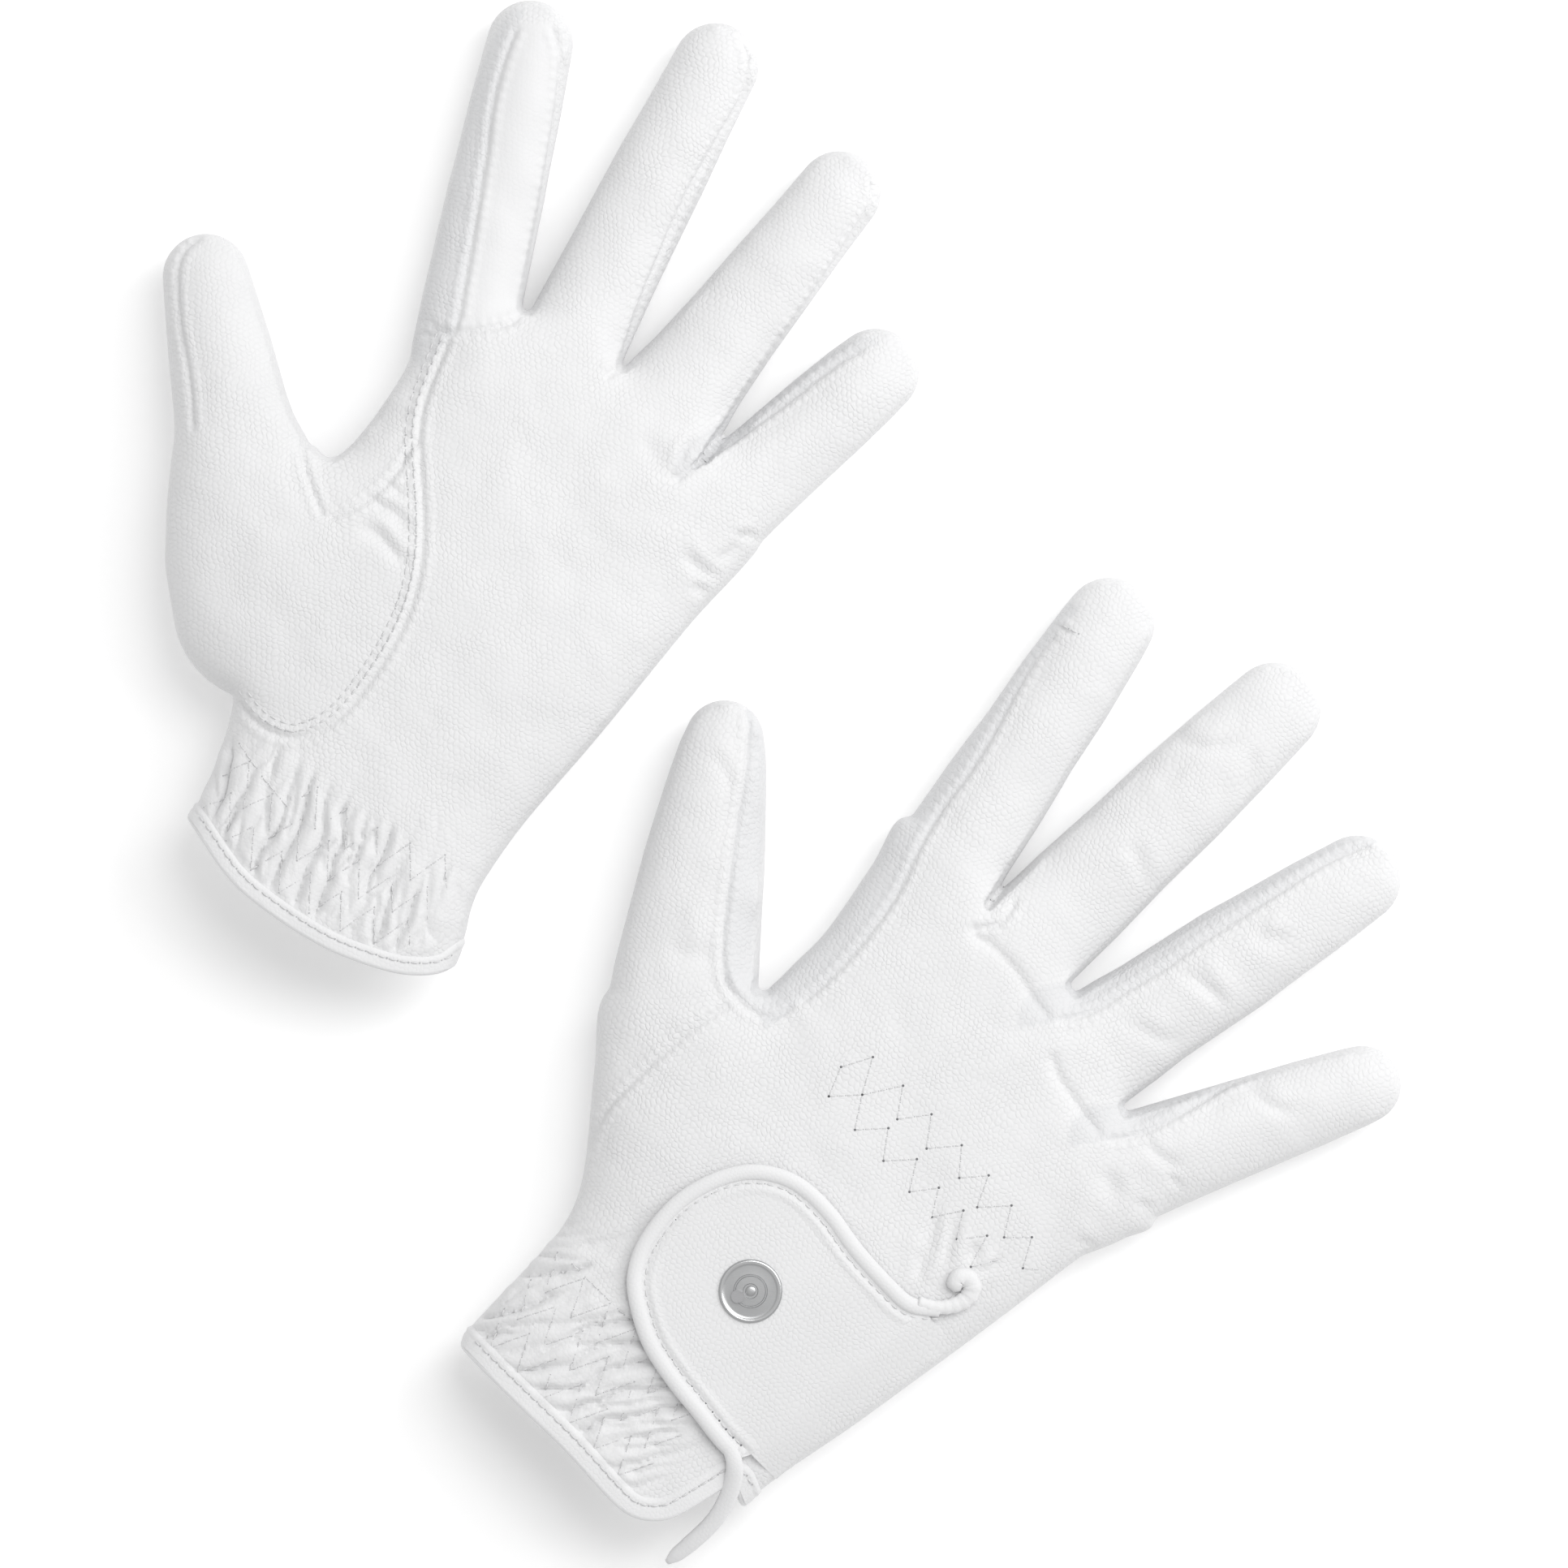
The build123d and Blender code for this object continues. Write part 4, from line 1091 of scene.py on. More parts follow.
def on_skin(fill, xy, lift=0.0, top=True):
    """Points on the carved skin over plan points, with their normals."""
    xy = np.asarray(xy, float)
    z = fill.surface(xy, top)
    _, slope = fill.value(np.column_stack([xy, z]))
    normal = slope / np.maximum(np.linalg.norm(slope, axis=1), 1e-9)[:, None]
    stand = relief(fill, xy) if top else np.minimum(under_relief(fill, xy), 0.1)
    return np.column_stack([xy, z]) + normal * (stand + lift)[:, None], normal


def resampled(line, pitch):
    """Plan points spaced pitch apart along a line."""
    lengths = np.concatenate([[0], np.cumsum(np.hypot(*np.diff(line, axis=0).T))])
    at = np.arange(pitch / 2, lengths[-1], pitch)
    return np.stack([np.interp(at, lengths, line[:, k]) for k in (0, 1)], 1)


def beside(line, offset):
    """A plan line moved sideways, to its left for a positive offset."""
    tangent = np.gradient(line, axis=0)
    tangent /= np.maximum(np.linalg.norm(tangent, axis=1), 1e-9)[:, None]
    return line + offset * np.stack([-tangent[:, 1], tangent[:, 0]], 1)


def row_of_stitches(fill, line, lift, top=True):
    """Stitches and needle holes along a plan line, as (thread parts, hole parts, their plan points)."""
    at = resampled(line, PITCH)
    tangent = np.gradient(at, axis=0)
    points, normals = on_skin(fill, at, lift, top)
    direction = np.column_stack([tangent, np.gradient(points[:, 2])])
    direction -= normals * (direction * normals).sum(1)[:, None]
    direction /= np.maximum(np.linalg.norm(direction, axis=1), 1e-9)[:, None]
    threads, dots = [], []
    for p, d, n in zip(points, direction, normals):
        threads.append(capsule(p, d, n))
        dots.append(disc(p + d * PITCH / 2 - n * 0.06, n, 0.26))
    return threads, dots, at


# ---------------------------------------------------------------- bodies

JOINTS = {j["name"]: j for j in frame["joints"]}
# The skin is cut this far behind a knuckle's axis, where it still follows the hand.
CUT_BEFORE, THUMB_CUT_BEFORE = 14.0, 17.0
KNUCKLE_REACH, END_REACH, THUMB_REACH = 9.0, 6.5, 11.0  # half lengths given with each finger piece to place()
FINGER_MARGIN = 6.0  # points this far outside a finger's outline still count as its own


def hinge(name):
    """Plan point and height of a joint in the plan's millimetres."""
    return np.array(JOINTS[name]["pos_m"]) / MM - SHIFT


def place(obj, where):
    """Rides a piece on one body. Given two bodies and a point, it only bakes the piece's transform and does
    not bend it.
    """
    if len(where) == 1:
        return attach(obj, where[0])
    first, second, at, direction, reach = where
    step = np.array([*direction, 0]) * reach
    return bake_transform(obj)


def finger_joints(n, finger):
    """Root hinge, end hinge (None on a thumb) and plan direction of a finger."""
    if finger == "thumb":
        root, tip = GLOVES[n]["fingers"]["thumb"][:2]
        direction = np.array(tip) - np.array(root)
        direction = direction / np.linalg.norm(direction)
        return hinge(f"{n}_thumb_bend"), None, direction
    first, second = hinge(f"{n}_{finger}_bend"), hinge(f"{n}_{finger}_end_bend")
    direction = (second - first)[:2]
    return first, second, direction / np.linalg.norm(direction)


def segments(fill, skin):
    """Cuts the skin at the cuff and into the hand and finger pieces: {part name: (skin, where)}."""
    n = fill.name
    edge = skin.split(cuff_field(fill, skin.points[:, :2]))
    skin.values["edge"] = edge
    skin = skin.part(edge[skin.tris].mean(1) > 0)
    made = {}
    for finger in fill.fingers:
        first, second, direction = finger_joints(n, finger)
        xy = skin.points[:, :2]
        own = finger_depth(xy, fill.fingers[finger])
        other = np.max([finger_depth(xy, f) for k, f in fill.fingers.items() if k != finger], axis=0)
        along = (xy - first[:2]) @ direction
        cut = THUMB_CUT_BEFORE if finger == "thumb" else CUT_BEFORE
        mine = (own > other) & (own > -FINGER_MARGIN) & (along > -cut - 12)
        field = skin.split(np.where(mine, along + cut, -3.0))
        ahead = field[skin.tris].mean(1) > 0
        tip, skin = skin.part(ahead), skin.part(~ahead)
        if finger == "thumb":
            made["thumb"] = (tip, (f"{n}_hand", f"{n}_thumb_end", first, direction, THUMB_REACH))
            continue
        half = np.linalg.norm((second - first)[:2]) / 2
        field = tip.split((tip.points[:, :2] - first[:2]) @ direction - half)
        ahead = field[tip.tris].mean(1) > 0
        middle, tip = tip.part(~ahead), tip.part(ahead)
        where = (f"{n}_hand", f"{n}_{finger}_middle", first, direction, KNUCKLE_REACH)
        made[f"{finger}_middle"] = (middle, where)
        where = (f"{n}_{finger}_middle", f"{n}_{finger}_end", second, direction, END_REACH)
        made[f"{finger}_end"] = (tip, where)
    made["hand"] = (skin, (f"{n}_hand",))
    return made


def part_of(fill, xy):
    """Name of the skin part that each plan point belongs to."""
    n = fill.name
    names = np.full(len(xy), "hand", dtype=object)
    depths = {k: finger_depth(xy, f) for k, f in fill.fingers.items()}
    for finger in fill.fingers:
        first, second, direction = finger_joints(n, finger)
        other = np.max([d for k, d in depths.items() if k != finger], axis=0)
        along = (xy - first[:2]) @ direction
        mine = (depths[finger] > other) & (depths[finger] > -FINGER_MARGIN)
        cut = THUMB_CUT_BEFORE if finger == "thumb" else CUT_BEFORE
        if finger == "thumb":
            names[mine & (along > -cut)] = "thumb"
            continue
        names[mine & (along > -cut)] = f"{finger}_middle"
        names[mine & (along > np.linalg.norm((second - first)[:2]) / 2)] = f"{finger}_end"
    return names


# CAD nodes that a skin piece stands for, where they aren't simply the same finger segment.
REPLACED = {
    "hand": ["back_panel", "palm_panel", "thumb_panel", "thumb_gusset", "grip_panel", "fourchette_1",
             "fourchette_2", "fourchette_3", "wrist_elastic", "knuckle_elastic", "vent_binding"],
    "thumb": ["thumb_tip"],
}


def skin_pieces(fill, parts):
    """The skin's parts as pieces, each placed by place()."""
    n = fill.name
    for name, (skin, where) in parts.items():
        obj = add_mesh(f"{n}_{name}_skin", skin.points, skin.tris, [SKIN], normals=skin.values["normal"],
                       uv=box_uv(fill, skin.points, skin.tris),
                       values={k: skin.values[k] for k in ("grain", "wall")})
        place(obj, where)
        stand_for = REPLACED.get(name, [name.replace("_middle", "_mid").replace("_end", "_tip")])
        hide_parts(*[f"{n}_{node}" for node in stand_for])


# ---------------------------------------------------------------- cuff

BAND = {"left": 3.7, "right": 4.9}  # width of the folded binding
BAND_LIFT = 0.55
ROLL_RADIUS = 1.0  # of the binding's rolled edge
LINING_DEPTH, LINING_GAP = 85.0, 1.2  # how far in the lining goes, and its distance from the skin


def boundary_loops(tris):
    """Ordered point numbers of each open edge of a triangle mesh."""
    edges = np.vstack([tris[:, [0, 1]], tris[:, [1, 2]], tris[:, [2, 0]]])
    key = edges[:, 0].astype(np.int64) * (tris.max() + 1) + edges[:, 1]
    twin = edges[:, 1].astype(np.int64) * (tris.max() + 1) + edges[:, 0]
    ahead = dict(edges[~np.isin(key, twin)].tolist())
    loops = []
    while ahead:
        start, at = next(iter(ahead.items()))
        del ahead[start]
        loop = [start]
        while at in ahead:
            loop.append(at)
            at = ahead.pop(at)
        loops.append(loop)
    return loops


def smoothed_ring(points, spacing, rounds):
    """A closed ring resampled evenly and softened."""
    steps = np.linalg.norm(np.diff(points, axis=0, append=points[:1]), axis=1)
    lengths = np.concatenate([[0], np.cumsum(steps)])
    closed = np.vstack([points, points[:1]])
    count = int(lengths[-1] / spacing)
    at = np.arange(count) * lengths[-1] / count
    ring = np.stack([np.interp(at, lengths, closed[:, k]) for k in range(3)], 1)
    for _ in range(rounds):
        ring = 0.5 * ring + 0.25 * (np.roll(ring, 1, 0) + np.roll(ring, -1, 0))
    return ring


def cuff(fill, hand):
    """Lining, folded binding and its stitches."""
    n = fill.name
    where = (f"{n}_hand",)
    edge = hand.values["edge"]
    near = (edge[hand.tris] < LINING_DEPTH).all(1)
    inside = hand.part(near)
    inside.points = inside.points - inside.values["normal"] * LINING_GAP
    tris = inside.tris[:, ::-1]
    lining = add_mesh(f"{n}_lining", inside.points, tris, [LINING],
                      uv=box_uv(fill, inside.points, tris))
    place(lining, where)

    width = BAND[n]
    copy = Skin(hand.points, hand.tris)
    copy.values = dict(hand.values)
    field = copy.split(width - edge)
    band = copy.part(field[copy.tris].mean(1) > 0)
    share = np.clip(band.values["edge"] / width, 0, 1)
    lift = BAND_LIFT * np.clip(1 - share**9, 0, 1) + 0.12 * np.exp(-((share - 0.72) / 0.12) ** 2)
    lift -= 0.22 * np.exp(-((band.values["edge"] - 0.62 * width) / 0.35) ** 2)
    band.points = band.points + band.values["normal"] * lift[:, None]
    loop = max([k for k in boundary_loops(hand.tris) if abs(edge[k]).max() < 0.5], key=len)
    ring = smoothed_ring(hand.points[loop], 1.0, 6)
    nearest = np.argmin(((ring[:, None] - hand.points[loop][None, ::3]) ** 2).sum(2), 1) * 3
    normals = hand.values["normal"][loop][nearest]
    roll, roll_tris = tube(ring - normals * 0.42, ROLL_RADIUS, 12, closed=True, ups=normals)
    points, tris = merged([(band.points, band.tris), (roll, roll_tris)])
    trim = add_mesh(f"{n}_cuff_trim", points, tris, [TRIM], normals=vertex_normals(points, tris),
                    uv=box_uv(fill, points, tris),
                    values={"grain": np.full(len(points), 0.5)})
    place(trim, where)
    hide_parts(f"{n}_cuff_binding")

    line = smooth_line(GLOVES[n]["cuff_edge"], 1.0)
    _, side, _ = line_field(fill.plan([(0, 60)]), line)
    row = beside(line, side[0] * 0.62 * width)
    row = row[fill.sample(fill.depth, row) > 1.5]
    threads, dots = [], []
    for top in (True, False):
        t, d, _ = row_of_stitches(fill, row, BAND_LIFT + 0.02, top=top)
        threads += t
        dots += d
    return threads, dots


# ---------------------------------------------------------------- stitching

# Seams with stitches in sight, and how far beside the seam each row runs.
SEAM_STITCHES = {
    "left": {"palm_seam": (-1.7, -3.4)},
    "right": {"index_mark": (0.8,)},
}
ZIG = 4.4  # distance between the corners of a zigzag over the gathers
# Two rows of elastic zigzag across the back of the right hand.
ZIGZAG = [
    [(11.2, -76.6), (14.2, -69.4), (22.0, -67.0), (19.4, -76.2), (29.4, -74.0), (28.0, -82.2),
     (36.4, -81.0), (35.2, -89.4), (43.8, -88.6), (43.2, -96.6), (50.4, -96.0), (47.6, -103.8),
     (56.0, -103.4), (54.2, -111.2), (61.0, -111.2), (58.8, -118.8), (63.4, -119.2)],
    [(11.2, -76.6), (19.4, -76.2), (17.6, -84.8), (25.8, -84.4), (24.6, -92.4), (32.8, -92.0),
     (31.0, -100.0), (38.2, -99.0), (36.5, -106.2), (44.2, -104.6), (42.6, -111.6), (50.0, -110.8),
     (46.0, -118.4), (53.2, -116.6)],
]


def gather_stitches(fill):
    """The zigzag rows over the gathered wrist, as plan lines."""
    high, left, right, _, _, row = GATHERS[fill.name]
    line = smooth_line(GLOVES[fill.name]["cuff_edge"], 1.0)
    flat = fill.pattern(line)
    order = np.argsort(flat[:, 0])
    lines = []
    for k in range(int((high + 4) / row)):
        across = np.arange(left + 5, right - 4, ZIG)
        foot = np.interp(across, flat[order, 0], flat[order, 1])
        swing = (np.arange(len(across)) % 2 - 0.5) * row * 0.95
        height = foot + 4.5 + (k + 0.5) * row + swing
        keep = height < high
        if keep.sum() > 3:
            lines.append(fill.plan(np.stack([across, height], 1)[keep]))
    return lines


def stitching(fill, threads, dots):
    """All sewing threads and needle holes, shared out to the parts of the skin they lie on."""
    n = fill.name
    shares = {}

    def add(kind, pieces, at):
        for piece, name in zip(pieces, part_of(fill, at)):
            shares.setdefault(name, {"threads": [], "pricks": [], "dots": []})[kind].append(piece)

    add("threads", threads, np.array([t[0].mean(0)[:2] for t in threads]))
    add("pricks", dots, np.array([t[0].mean(0)[:2] for t in dots]))
    for seam, offsets in SEAM_STITCHES[n].items():
        for offset in offsets:
            line = beside(smooth_line(SEAMS[n][seam], 1.0), offset)
            line = line[fill.sample(fill.depth, line) > 0.6]
            t, d, at = row_of_stitches(fill, line, 0.02)
            add("threads", t, at)
            add("pricks", d, at)
    rows = [(line, False) for line in gather_stitches(fill)]
    if n == "right":
        rows += [(line, True) for line in ZIGZAG]
    for corners, bold in rows:
        for a, b in zip(corners, corners[1:]):
            count = max(2, round(math.dist(a, b) / 2.2))
            line = np.stack([np.linspace(a[k], b[k], count + 1) for k in (0, 1)], 1)
            if fill.sample(fill.depth, line).min() < 1.0:
                continue
            points, normals = on_skin(fill, line, 0.03)
            for p, q, u in zip(points, points[1:], normals):
                length = np.linalg.norm(q - p)
                stitch = capsule((p + q) / 2, (q - p) / length, u, 0.80 * length, 0.15)
                add("threads", [stitch], (p + q)[None, :2] / 2)
            pricks = [disc(p, u, 0.16) for p, u in zip(points[1:-1], normals[1:-1])]
            add("pricks", pricks, points[1:-1, :2])
            corner = disc(points[0], normals[0], 0.34 if bold else 0.24)
            add("dots" if bold else "pricks", [corner], points[:1, :2])
    return shares


def thread_pieces(fill, shares, parts):
    """One piece of stitches for each part of the skin, placed as that part is."""
    for name, share in sorted(shares.items()):
        groups = [share["threads"], share["pricks"], share["dots"]]
        made = [merged(g) for g in groups if g]
        numbers = np.concatenate([np.full(len(m[1]), k) for k, m in enumerate(made)])
        points, tris = merged(made)
        materials = [m for m, g in zip((THREAD, PRICK_SHADE, HOLE_SHADE), groups) if g]
        obj = add_mesh(f"{fill.name}_{name}_stitches", points, tris, materials, numbers)
        place(obj, parts[name][1])


# ---------------------------------------------------------------- tab and badge

TAB = {
    "right": dict(
        outline=[(38.9, -126.8), (32.2, -126), (27.4, -122), (19.4, -113.2), (13, -104.4), (6.6, -98),
                 (0.2, -94.5), (-7.8, -93.2), (-15.8, -94.8), (-23.8, -98.8), (-30.2, -104.4),
                 (-35.8, -112.4), (-38.2, -120.4), (-37.4, -128.4), (-34.2, -138), (-28.6, -146.8),
                 (-22.2, -154.8), (-16.6, -162), (-12.6, -166)],
        root=[(-7.8, -164.4), (13, -145.2), (34.6, -128.9)],
        badge=(-8.0, -124.2),
        patch=(-14, -126),
    ),
}
TAB_LIFT, TAB_PLATE = 1.25, 1.35  # from the hand to the tab, and the tab's own thickness
TAB_BEND = 8.0  # the tab's pieces are given a bend point half this distance from its sewn root
PATCH_HALF = (11.5, 13.5)  # half width and half length of the touch fastener


def wide_surface(fill, top):
    """Plan field of the hand's smoothed height, which stiff layers follow."""
    z = rested(fill.middle + (1 if top else -1) * np.sqrt(np.maximum(2 * fill.u, 0)))
    soft = blurred(z, 9)
    soft = np.maximum(soft, z) if top else np.minimum(soft, z)
    return blurred(soft, 3)


def plate(outline, low, high, spacing=0.8):
    """A sheet over a closed plan outline. low and high give its heights over plan points."""
    loop = resampled(np.vstack([outline, outline[:1]]), spacing)
    mins, maxs = loop.min(0), loop.max(0)
    columns, lines = [np.arange(mins[k], maxs[k], spacing) for k in (0, 1)]
    gx, gy = np.meshgrid(columns, lines, indexing="ij")
    grid = np.stack([gx.ravel(), gy.ravel()], 1)
    grid = grid[polygon_depth(grid, loop) > 0.55 * spacing]
    plan = np.vstack([loop, grid])
    faces = triangulated(plan, loop)
    n, m = len(plan), len(loop)
    tops = np.column_stack([plan, high(plan)])
    bottoms = np.column_stack([plan, low(plan)])
    k = np.arange(m)
    after = (k + 1) % m
    side = np.vstack([np.stack([k, k + n, after + n], 1), np.stack([k, after + n, after], 1)])
    points = np.vstack([tops, bottoms])
    area = loop[:, 0] @ np.roll(loop[:, 1], -1) - loop[:, 1] @ np.roll(loop[:, 0], -1)
    if area < 0:
        side = side[:, ::-1]
    return points, np.vstack([faces, faces[:, ::-1] + n, side])


def triangulated(plan, loop):
    """Delaunay triangles of plan points whose middles are inside the loop."""
    edges = [(k, (k + 1) % len(loop)) for k in range(len(loop))]
    found = delaunay_2d_cdt([Vector(p) for p in plan], edges, [], 0, 1e-5)
    tris = np.array([f for f in found[2] if len(f) == 3])
    origin = np.array([o[0] for o in found[3]])
    tris = origin[tris]
    middle = plan[tris].mean(1)
    tris = tris[polygon_depth(middle, loop) > 0]
    a, b, c = plan[tris[:, 0]], plan[tris[:, 1]], plan[tris[:, 2]]
    turn = (b - a)[:, 0] * (c - a)[:, 1] - (b - a)[:, 1] * (c - a)[:, 0]
    tris[turn < 0] = tris[turn < 0][:, ::-1]
    return tris


def turned(profile, sides=96):
    """Points and triangles of a profile (radius, height) turned about the z axis."""
    profile = np.array(profile, float)
    a = np.arange(sides) * 2 * np.pi / sides
    points = np.stack([profile[:, :1] * np.cos(a), profile[:, :1] * np.sin(a),
                       np.repeat(profile[:, 1:], sides, 1)], -1).reshape(-1, 3)
    i, j = [k.ravel() for k in np.meshgrid(np.arange(len(profile) - 1), np.arange(sides), indexing="ij")]
    p, q = i * sides + j, i * sides + (j + 1) % sides
    r, s = (i + 1) * sides + (j + 1) % sides, (i + 1) * sides + j
    return points, np.vstack([np.stack([p, q, r], 1), np.stack([p, r, s], 1)])


def tab(fill):
    """The closure tab, its piping and stitches, and what belongs to it."""
    n = fill.name
    top = not fill.palm_up
    sign = 1.0 if top else -1.0
    data = TAB[n]
    outline = smooth_line(data["outline"], 1.0)
    root = smooth_line(data["root"], 1.0)
    loop = np.vstack([outline, root])
    ground = wide_surface(fill, top)
    towards = np.array(data["badge"]) - root.mean(0)
    along = (root[-1] - root[0]) / np.linalg.norm(root[-1] - root[0])
    towards = towards - (towards @ along) * along
    towards = towards / np.linalg.norm(towards)
    sewn_root = np.array([*(root.mean(0) + towards * TAB_BEND / 2), 0.0])
    bends = (f"{n}_hand", f"{n}_tab", sewn_root, towards, TAB_BEND / 2 + 1.0)

    def base(xy):
        return fill.sample(ground, xy)

    def lift(xy):
        """Full lift over the tab, less along its sewn root."""
        dist, _, _ = line_field(xy, root)
        return TAB_LIFT * (0.55 + 0.45 * rise_between(dist, 0, 14))

    def upper(xy):
        dist, _, _ = line_field(xy, outline)
        made = base(xy) + sign * (lift(xy) + TAB_PLATE)
        made -= sign * 0.45 * np.exp(-((dist - 4.5) / 0.6) ** 2)
        made += sign * 0.15 * np.exp(-((dist - 5.9) / 0.8) ** 2)
        made -= sign * 0.16 * rise_between(dist, 6.6, 7.1)
        made -= sign * 0.35 * np.exp(-(dist / 2.0) ** 2)
        return made + 0.10 * bump_noise(xy, 12, 41)

    def lower(xy):
        return base(xy) + sign * lift(xy)

    points, tris = plate(loop, lower, upper) if top else plate(loop, upper, lower)
    obj = add_mesh(f"{n}_tab_leather", points, tris, [SKIN], uv=box_uv(fill, points, tris),
                   values={"grain": np.full(len(points), 0.65), "wall": np.zeros(len(points))})
    sharpened(obj)
    place(obj, bends)
    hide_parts(f"{n}_closure_tab")

    line = resampled(beside_in(outline, 1.9, loop), 0.9)
    centre = np.column_stack([line, (upper(line) + lower(line)) / 2 + sign * 0.18])
    edge, edge_tris = tube(centre, 2.0, 14, flat=0.62)
    trim = add_mesh(f"{n}_tab_edge", edge, edge_tris, [TRIM],
                    uv=box_uv(fill, edge, edge_tris),
                    values={"grain": np.full(len(edge), 0.4)})
    place(trim, bends)
    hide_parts(f"{n}_tab_piping")

    row = resampled(beside_in(outline, 4.5, loop), PITCH)
    tangent = np.gradient(row, axis=0)
    parts, holes = [], []
    for p, d in zip(np.column_stack([row, upper(row) + sign * 0.10]), tangent):
        u = np.array([0, 0, sign])
        d = np.array([*d, 0]) / np.linalg.norm(d)
        parts.append(capsule(p, d, u))
        holes.append(disc(p + d * PITCH / 2 - u * 0.08, u, 0.27))
    made = [merged(parts), merged(holes)]
    numbers = np.concatenate([np.full(len(m[1]), k) for k, m in enumerate(made)])
    points, tris = merged(made)
    place(add_mesh(f"{n}_tab_stitches", points, tris, [THREAD, HOLE_SHADE], numbers), bends)
    badge(fill, upper, sign)
    patches(fill, base, lower, sign)
    strip(fill, base, root, sign)


def beside_in(line, offset, loop):
    """A line moved to the inside of a loop."""
    one = beside(line, offset)
    return one if polygon_depth(one[len(one) // 2][None], loop)[0] > 0 else beside(line, -offset)


def sharpened(obj, angle=50):
    """Smooth shading with hard edges over an angle."""
    obj.data.set_sharp_from_angle(angle=math.radians(angle))


def badge(fill, upper, sign):
    """A brushed disc with a bright rim and two plain turned rings: no mark."""
    n = fill.name
    at = np.array([TAB[n]["badge"]])
    z = float(upper(at)[0])
    disc_profile = [(7.8, -0.5), (7.8, 0.35), (7.68, 0.62), (7.45, 0.75), (7.15, 0.78), (6.95, 0.70),
                    (6.75, 0.52), (6.2, 0.50), (4.6, 0.56), (4.2, 0.57), (4.05, 0.40), (3.75, 0.40),
                    (3.6, 0.58), (1.9, 0.60), (1.75, 0.42), (1.3, 0.42), (1.1, 0.62), (0.6, 0.68),
                    (0.001, 0.70)]
    points, tris = turned(disc_profile)
    radius = np.hypot(*points[tris].mean(1)[:, :2].T)
    numbers = ((radius > 6.7) & (radius < 7.5)).astype(int)
    points = points * np.array([1, 1, sign]) + np.array([*at[0], z - sign * 0.1])
    if sign < 0:
        tris = tris[:, ::-1]
    obj = add_mesh(f"{n}_badge_disc", points, tris, [BADGE, RIM], numbers)
    sharpened(obj, 40)
    place(obj, (f"{n}_tab",))
    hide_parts(f"{n}_badge_cap")


def patches(fill, base, lower, sign):
    """The two halves of the touch fastener: hooks under the tab and pile on the hand."""
    n = fill.name
    middle = np.array(TAB[n]["patch"])
    w, h = PATCH_HALF
    corners = [middle + fill.across * x + fill.up * y for x, y in ((-w, -h), (w, -h), (w, h), (-w, h))]
    corners = np.array(corners)
    sides = zip(corners, np.roll(corners, -1, 0))
    square = np.vstack([np.linspace(a, b, 12, endpoint=False) for a, b in sides])

    def over(surface, height):
        """Heights of a surface, raised away from the hand."""
        return lambda xy: surface(xy) + sign * height

    layers = {
        "tab_hooks": ("hook_patch", f"{n}_tab", over(lower, -0.50), over(lower, 0.05)),
        "loop_pile": ("loop_patch", f"{n}_hand", over(base, -0.4), over(base, 0.62)),
    }
    for name, (node, body, low, high) in layers.items():
        points, tris = plate(square, low, high) if sign > 0 else plate(square, high, low)
        obj = add_mesh(f"{n}_{name}", points, tris, [FASTENER], uv=box_uv(fill, points, tris))
        sharpened(obj)
        place(obj, (body,))
        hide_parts(f"{n}_{node}")


def strip(fill, base, root, sign):
    """The sewn strip that holds the tab's root and runs out into the hand."""
    n = fill.name
    _, side, _ = line_field(np.array([TAB[n]["badge"]]), root)
    away = -side[0]
    far = beside(root, away * (9.0 if sign > 0 else 4.5))
    close = beside(root, -away * 0.8)
    loop = np.vstack([close, far[::-1]])

    def high(xy):
        dist, _, _ = line_field(xy, close)
        rise = (0.55 * TAB_LIFT + TAB_PLATE - 0.25) * (1 - rise_between(dist, 0.5, 9.5))
        return base(xy) + sign * rise + sign * 0.1 - sign * 0.35 * np.exp(-(dist / 0.7) ** 2)

    def low(xy):
        return base(xy) - sign * 0.8

    points, tris = plate(loop, low, high) if sign > 0 else plate(loop, high, low)
    obj = add_mesh(f"{n}_tab_strip", points, tris, [SKIN], uv=box_uv(fill, points, tris),
                   values={"grain": np.full(len(points), 0.6), "wall": np.zeros(len(points))})
    sharpened(obj)
    place(obj, (f"{n}_hand",))
    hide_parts(f"{n}_tab_anchor")


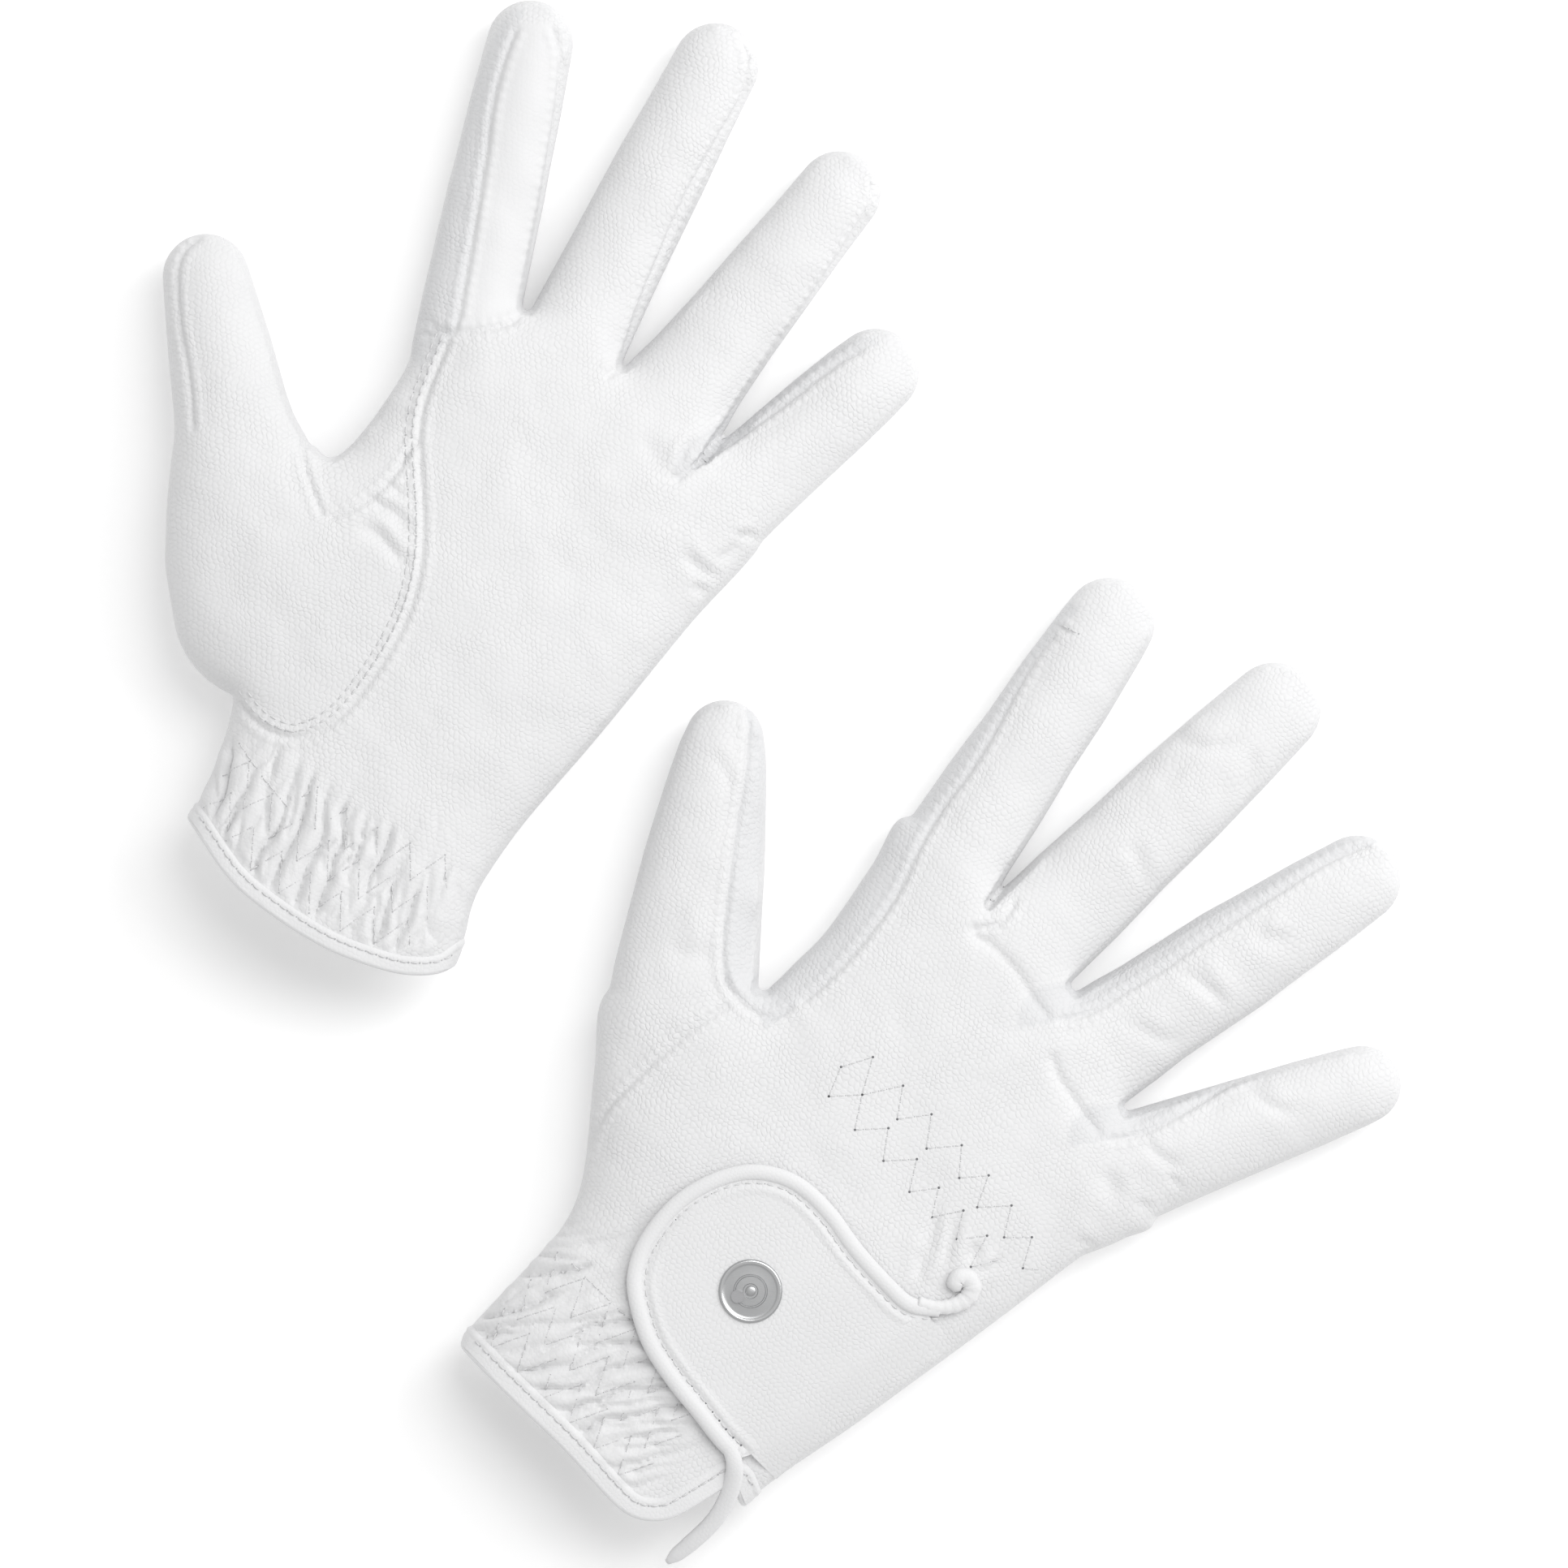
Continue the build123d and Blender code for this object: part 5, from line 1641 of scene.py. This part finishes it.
def right_extras(fill):
    """The piping's tail below the cuff, and the gathered loop at the top of the slit."""
    base = wide_surface(fill, True)
    tail = smooth_line([(-15.2, -160.8), (-12.8, -163.6), (-11.9, -168.0), (-13.2, -174),
                        (-16.6, -180.4), (-22.0, -186.0), (-28.6, -191.5)], 1.0)
    share = np.linspace(0, 1, len(tail))
    start = float(fill.sample(base, tail[:1])[0]) + 1.5
    z = start - np.interp(share, [0, 0.15, 0.35, 0.6, 1], [0, 0.3, 3.5, 7.0, 12.0])
    radius = np.interp(share, [0, 0.12, 0.25, 0.8, 0.93, 1], [1.8, 1.95, 2.25, 2.1, 1.8, 0.7])
    points, tris = tube(np.column_stack([tail, z]), radius, 16, flat=0.58)
    obj = add_mesh("right_tail_strip", points, tris, [TRIM], uv=box_uv(fill, points, tris),
                   values={"grain": np.full(len(points), 0.4)})
    place(obj, ("right_hand",))
    knot = smooth_line([(33.0, -127.0), (37.6, -128.3), (42.0, -127.8), (45.3, -125.8), (46.2, -122.9),
                        (44.4, -120.8), (42.4, -121.9), (42.6, -124.4)], 0.6)
    share = np.linspace(0, 1, len(knot))
    height = fill.sample(base, knot) + np.interp(share, [0, 0.3, 0.7, 1], [1.6, 1.5, 1.1, 1.3])
    radius = np.interp(share, [0, 0.3, 0.7, 0.92, 1], [1.5, 1.8, 2.5, 2.3, 1.0])
    radius = radius * (1 + 0.07 * np.sin(np.arange(len(knot)) * 1.9))
    points, tris = tube(np.column_stack([knot, height]), radius, 16, flat=0.75)
    obj = add_mesh("right_gather_loop", points, tris, [TRIM], uv=box_uv(fill, points, tris),
                   values={"grain": np.full(len(points), 0.4)})
    place(obj, ("right_hand",))


LEFT_TAB_SCALE, LEFT_TAB_SHIFT = 0.84, np.array([-4.5, -1.0])


def mirrored_tab():
    """The left glove's tab: the right one's, carried over in the gloves' own frames and made smaller."""
    left, right = FILLS["left"], FILLS["right"]

    def carried(points):
        p = right.pattern(np.array(points, float))
        return left.plan(p * LEFT_TAB_SCALE + LEFT_TAB_SHIFT)

    made = {key: carried(TAB["right"][key]) for key in ("outline", "root")}
    made.update({key: carried([TAB["right"][key]])[0] for key in ("badge", "patch")})
    return made


# ---------------------------------------------------------------- making

def make_glove(n):
    """All pieces of one glove."""
    fill = FILLS[n]
    skin = grown_skin(fill)
    carve(fill, skin)
    parts = segments(fill, skin)
    skin_pieces(fill, parts)
    threads, dots = cuff(fill, parts["hand"][0])
    thread_pieces(fill, stitching(fill, threads, dots), parts)
    tab(fill)
    if n == "right":
        right_extras(fill)
    post = frame["nodes"][f"{n}_badge_post"]
    post.data.materials.clear()
    post.data.materials.append(POST)


FILLS = {n: Fill(n) for n in GLOVES}
TAB["left"] = mirrored_tab()
for glove in GLOVES:
    make_glove(glove)

# ---------------------------------------------------------------- stage, light and camera

FLOOR, FLOOR_HALF = -0.0003, 6.0  # metres


def paper():
    """White paper with faint fibres."""
    t = Tree("white_paper")
    where = t.node("ShaderNodeTexCoord").outputs["Object"]
    fibre = t.noise(where, 900.0, 3.0)
    t.link(t.mix(fibre, (0.90, 0.90, 0.90, 1), (0.93, 0.93, 0.93, 1)), t.shader.inputs["Base Color"])
    t.link(t.spread(fibre, 0.8, 0.95), t.shader.inputs["Roughness"])
    t.shader.inputs["Specular IOR Level"].default_value = 0.1
    t.shader.inputs["Emission Color"].default_value = (1, 1, 1, 1)
    t.shader.inputs["Emission Strength"].default_value = 0.18
    return t.material


floor_mesh = bpy.data.meshes.new("floor")
corners = [(x * FLOOR_HALF, y * FLOOR_HALF, FLOOR) for x, y in ((-1, -1), (1, -1), (1, 1), (-1, 1))]
floor_mesh.from_pydata(corners, [], [(0, 1, 2, 3)])
floor_mesh.materials.append(paper())
floor = bpy.data.objects.new("floor", floor_mesh)
bpy.context.scene.collection.objects.link(floor)

world = bpy.data.worlds.new("studio")
bpy.context.scene.world = world
world.use_nodes = True
world.node_tree.nodes["Background"].inputs["Color"].default_value = (1, 1, 1, 1)
world.node_tree.nodes["Background"].inputs["Strength"].default_value = 0.66


def softbox(name, at, size, power):
    """A round soft light that faces the gloves."""
    lamp = bpy.data.lights.new(name, "AREA")
    lamp.shape, lamp.size, lamp.energy = "DISK", size, power
    obj = bpy.data.objects.new(name, lamp)
    bpy.context.scene.collection.objects.link(obj)
    obj.location = at
    obj.rotation_euler = (Vector((0, 0, 0)) - Vector(at)).to_track_quat("-Z", "Y").to_euler()


softbox("key", (0.95, 0.45, 0.9), 1.0, 7.5)
softbox("top", (0.45, 0.7, 1.8), 1.0, 10.5)

PHOTO_WIDTH = 386.4  # millimetres across the frame, at the gloves' middle height
CAMERA_HEIGHT = 3000.0  # above the gloves' middle height
MIDDLE_HEIGHT = 12.0
PHOTO_MIDDLE = 0.2  # plan X under the camera
SENSOR_WIDTH = 36.0
camera_data = bpy.data.cameras.new("camera")
camera_data.sensor_width = SENSOR_WIDTH
camera_data.lens = SENSOR_WIDTH * CAMERA_HEIGHT / PHOTO_WIDTH
camera_data.clip_end = 20.0
camera = bpy.data.objects.new("camera", camera_data)
bpy.context.scene.collection.objects.link(camera)
camera.location = ((PHOTO_MIDDLE + SHIFT[0]) * MM, SHIFT[1] * MM, (CAMERA_HEIGHT + MIDDLE_HEIGHT) * MM)
bpy.context.scene.camera = camera
bpy.context.scene.view_settings.view_transform = "Standard"
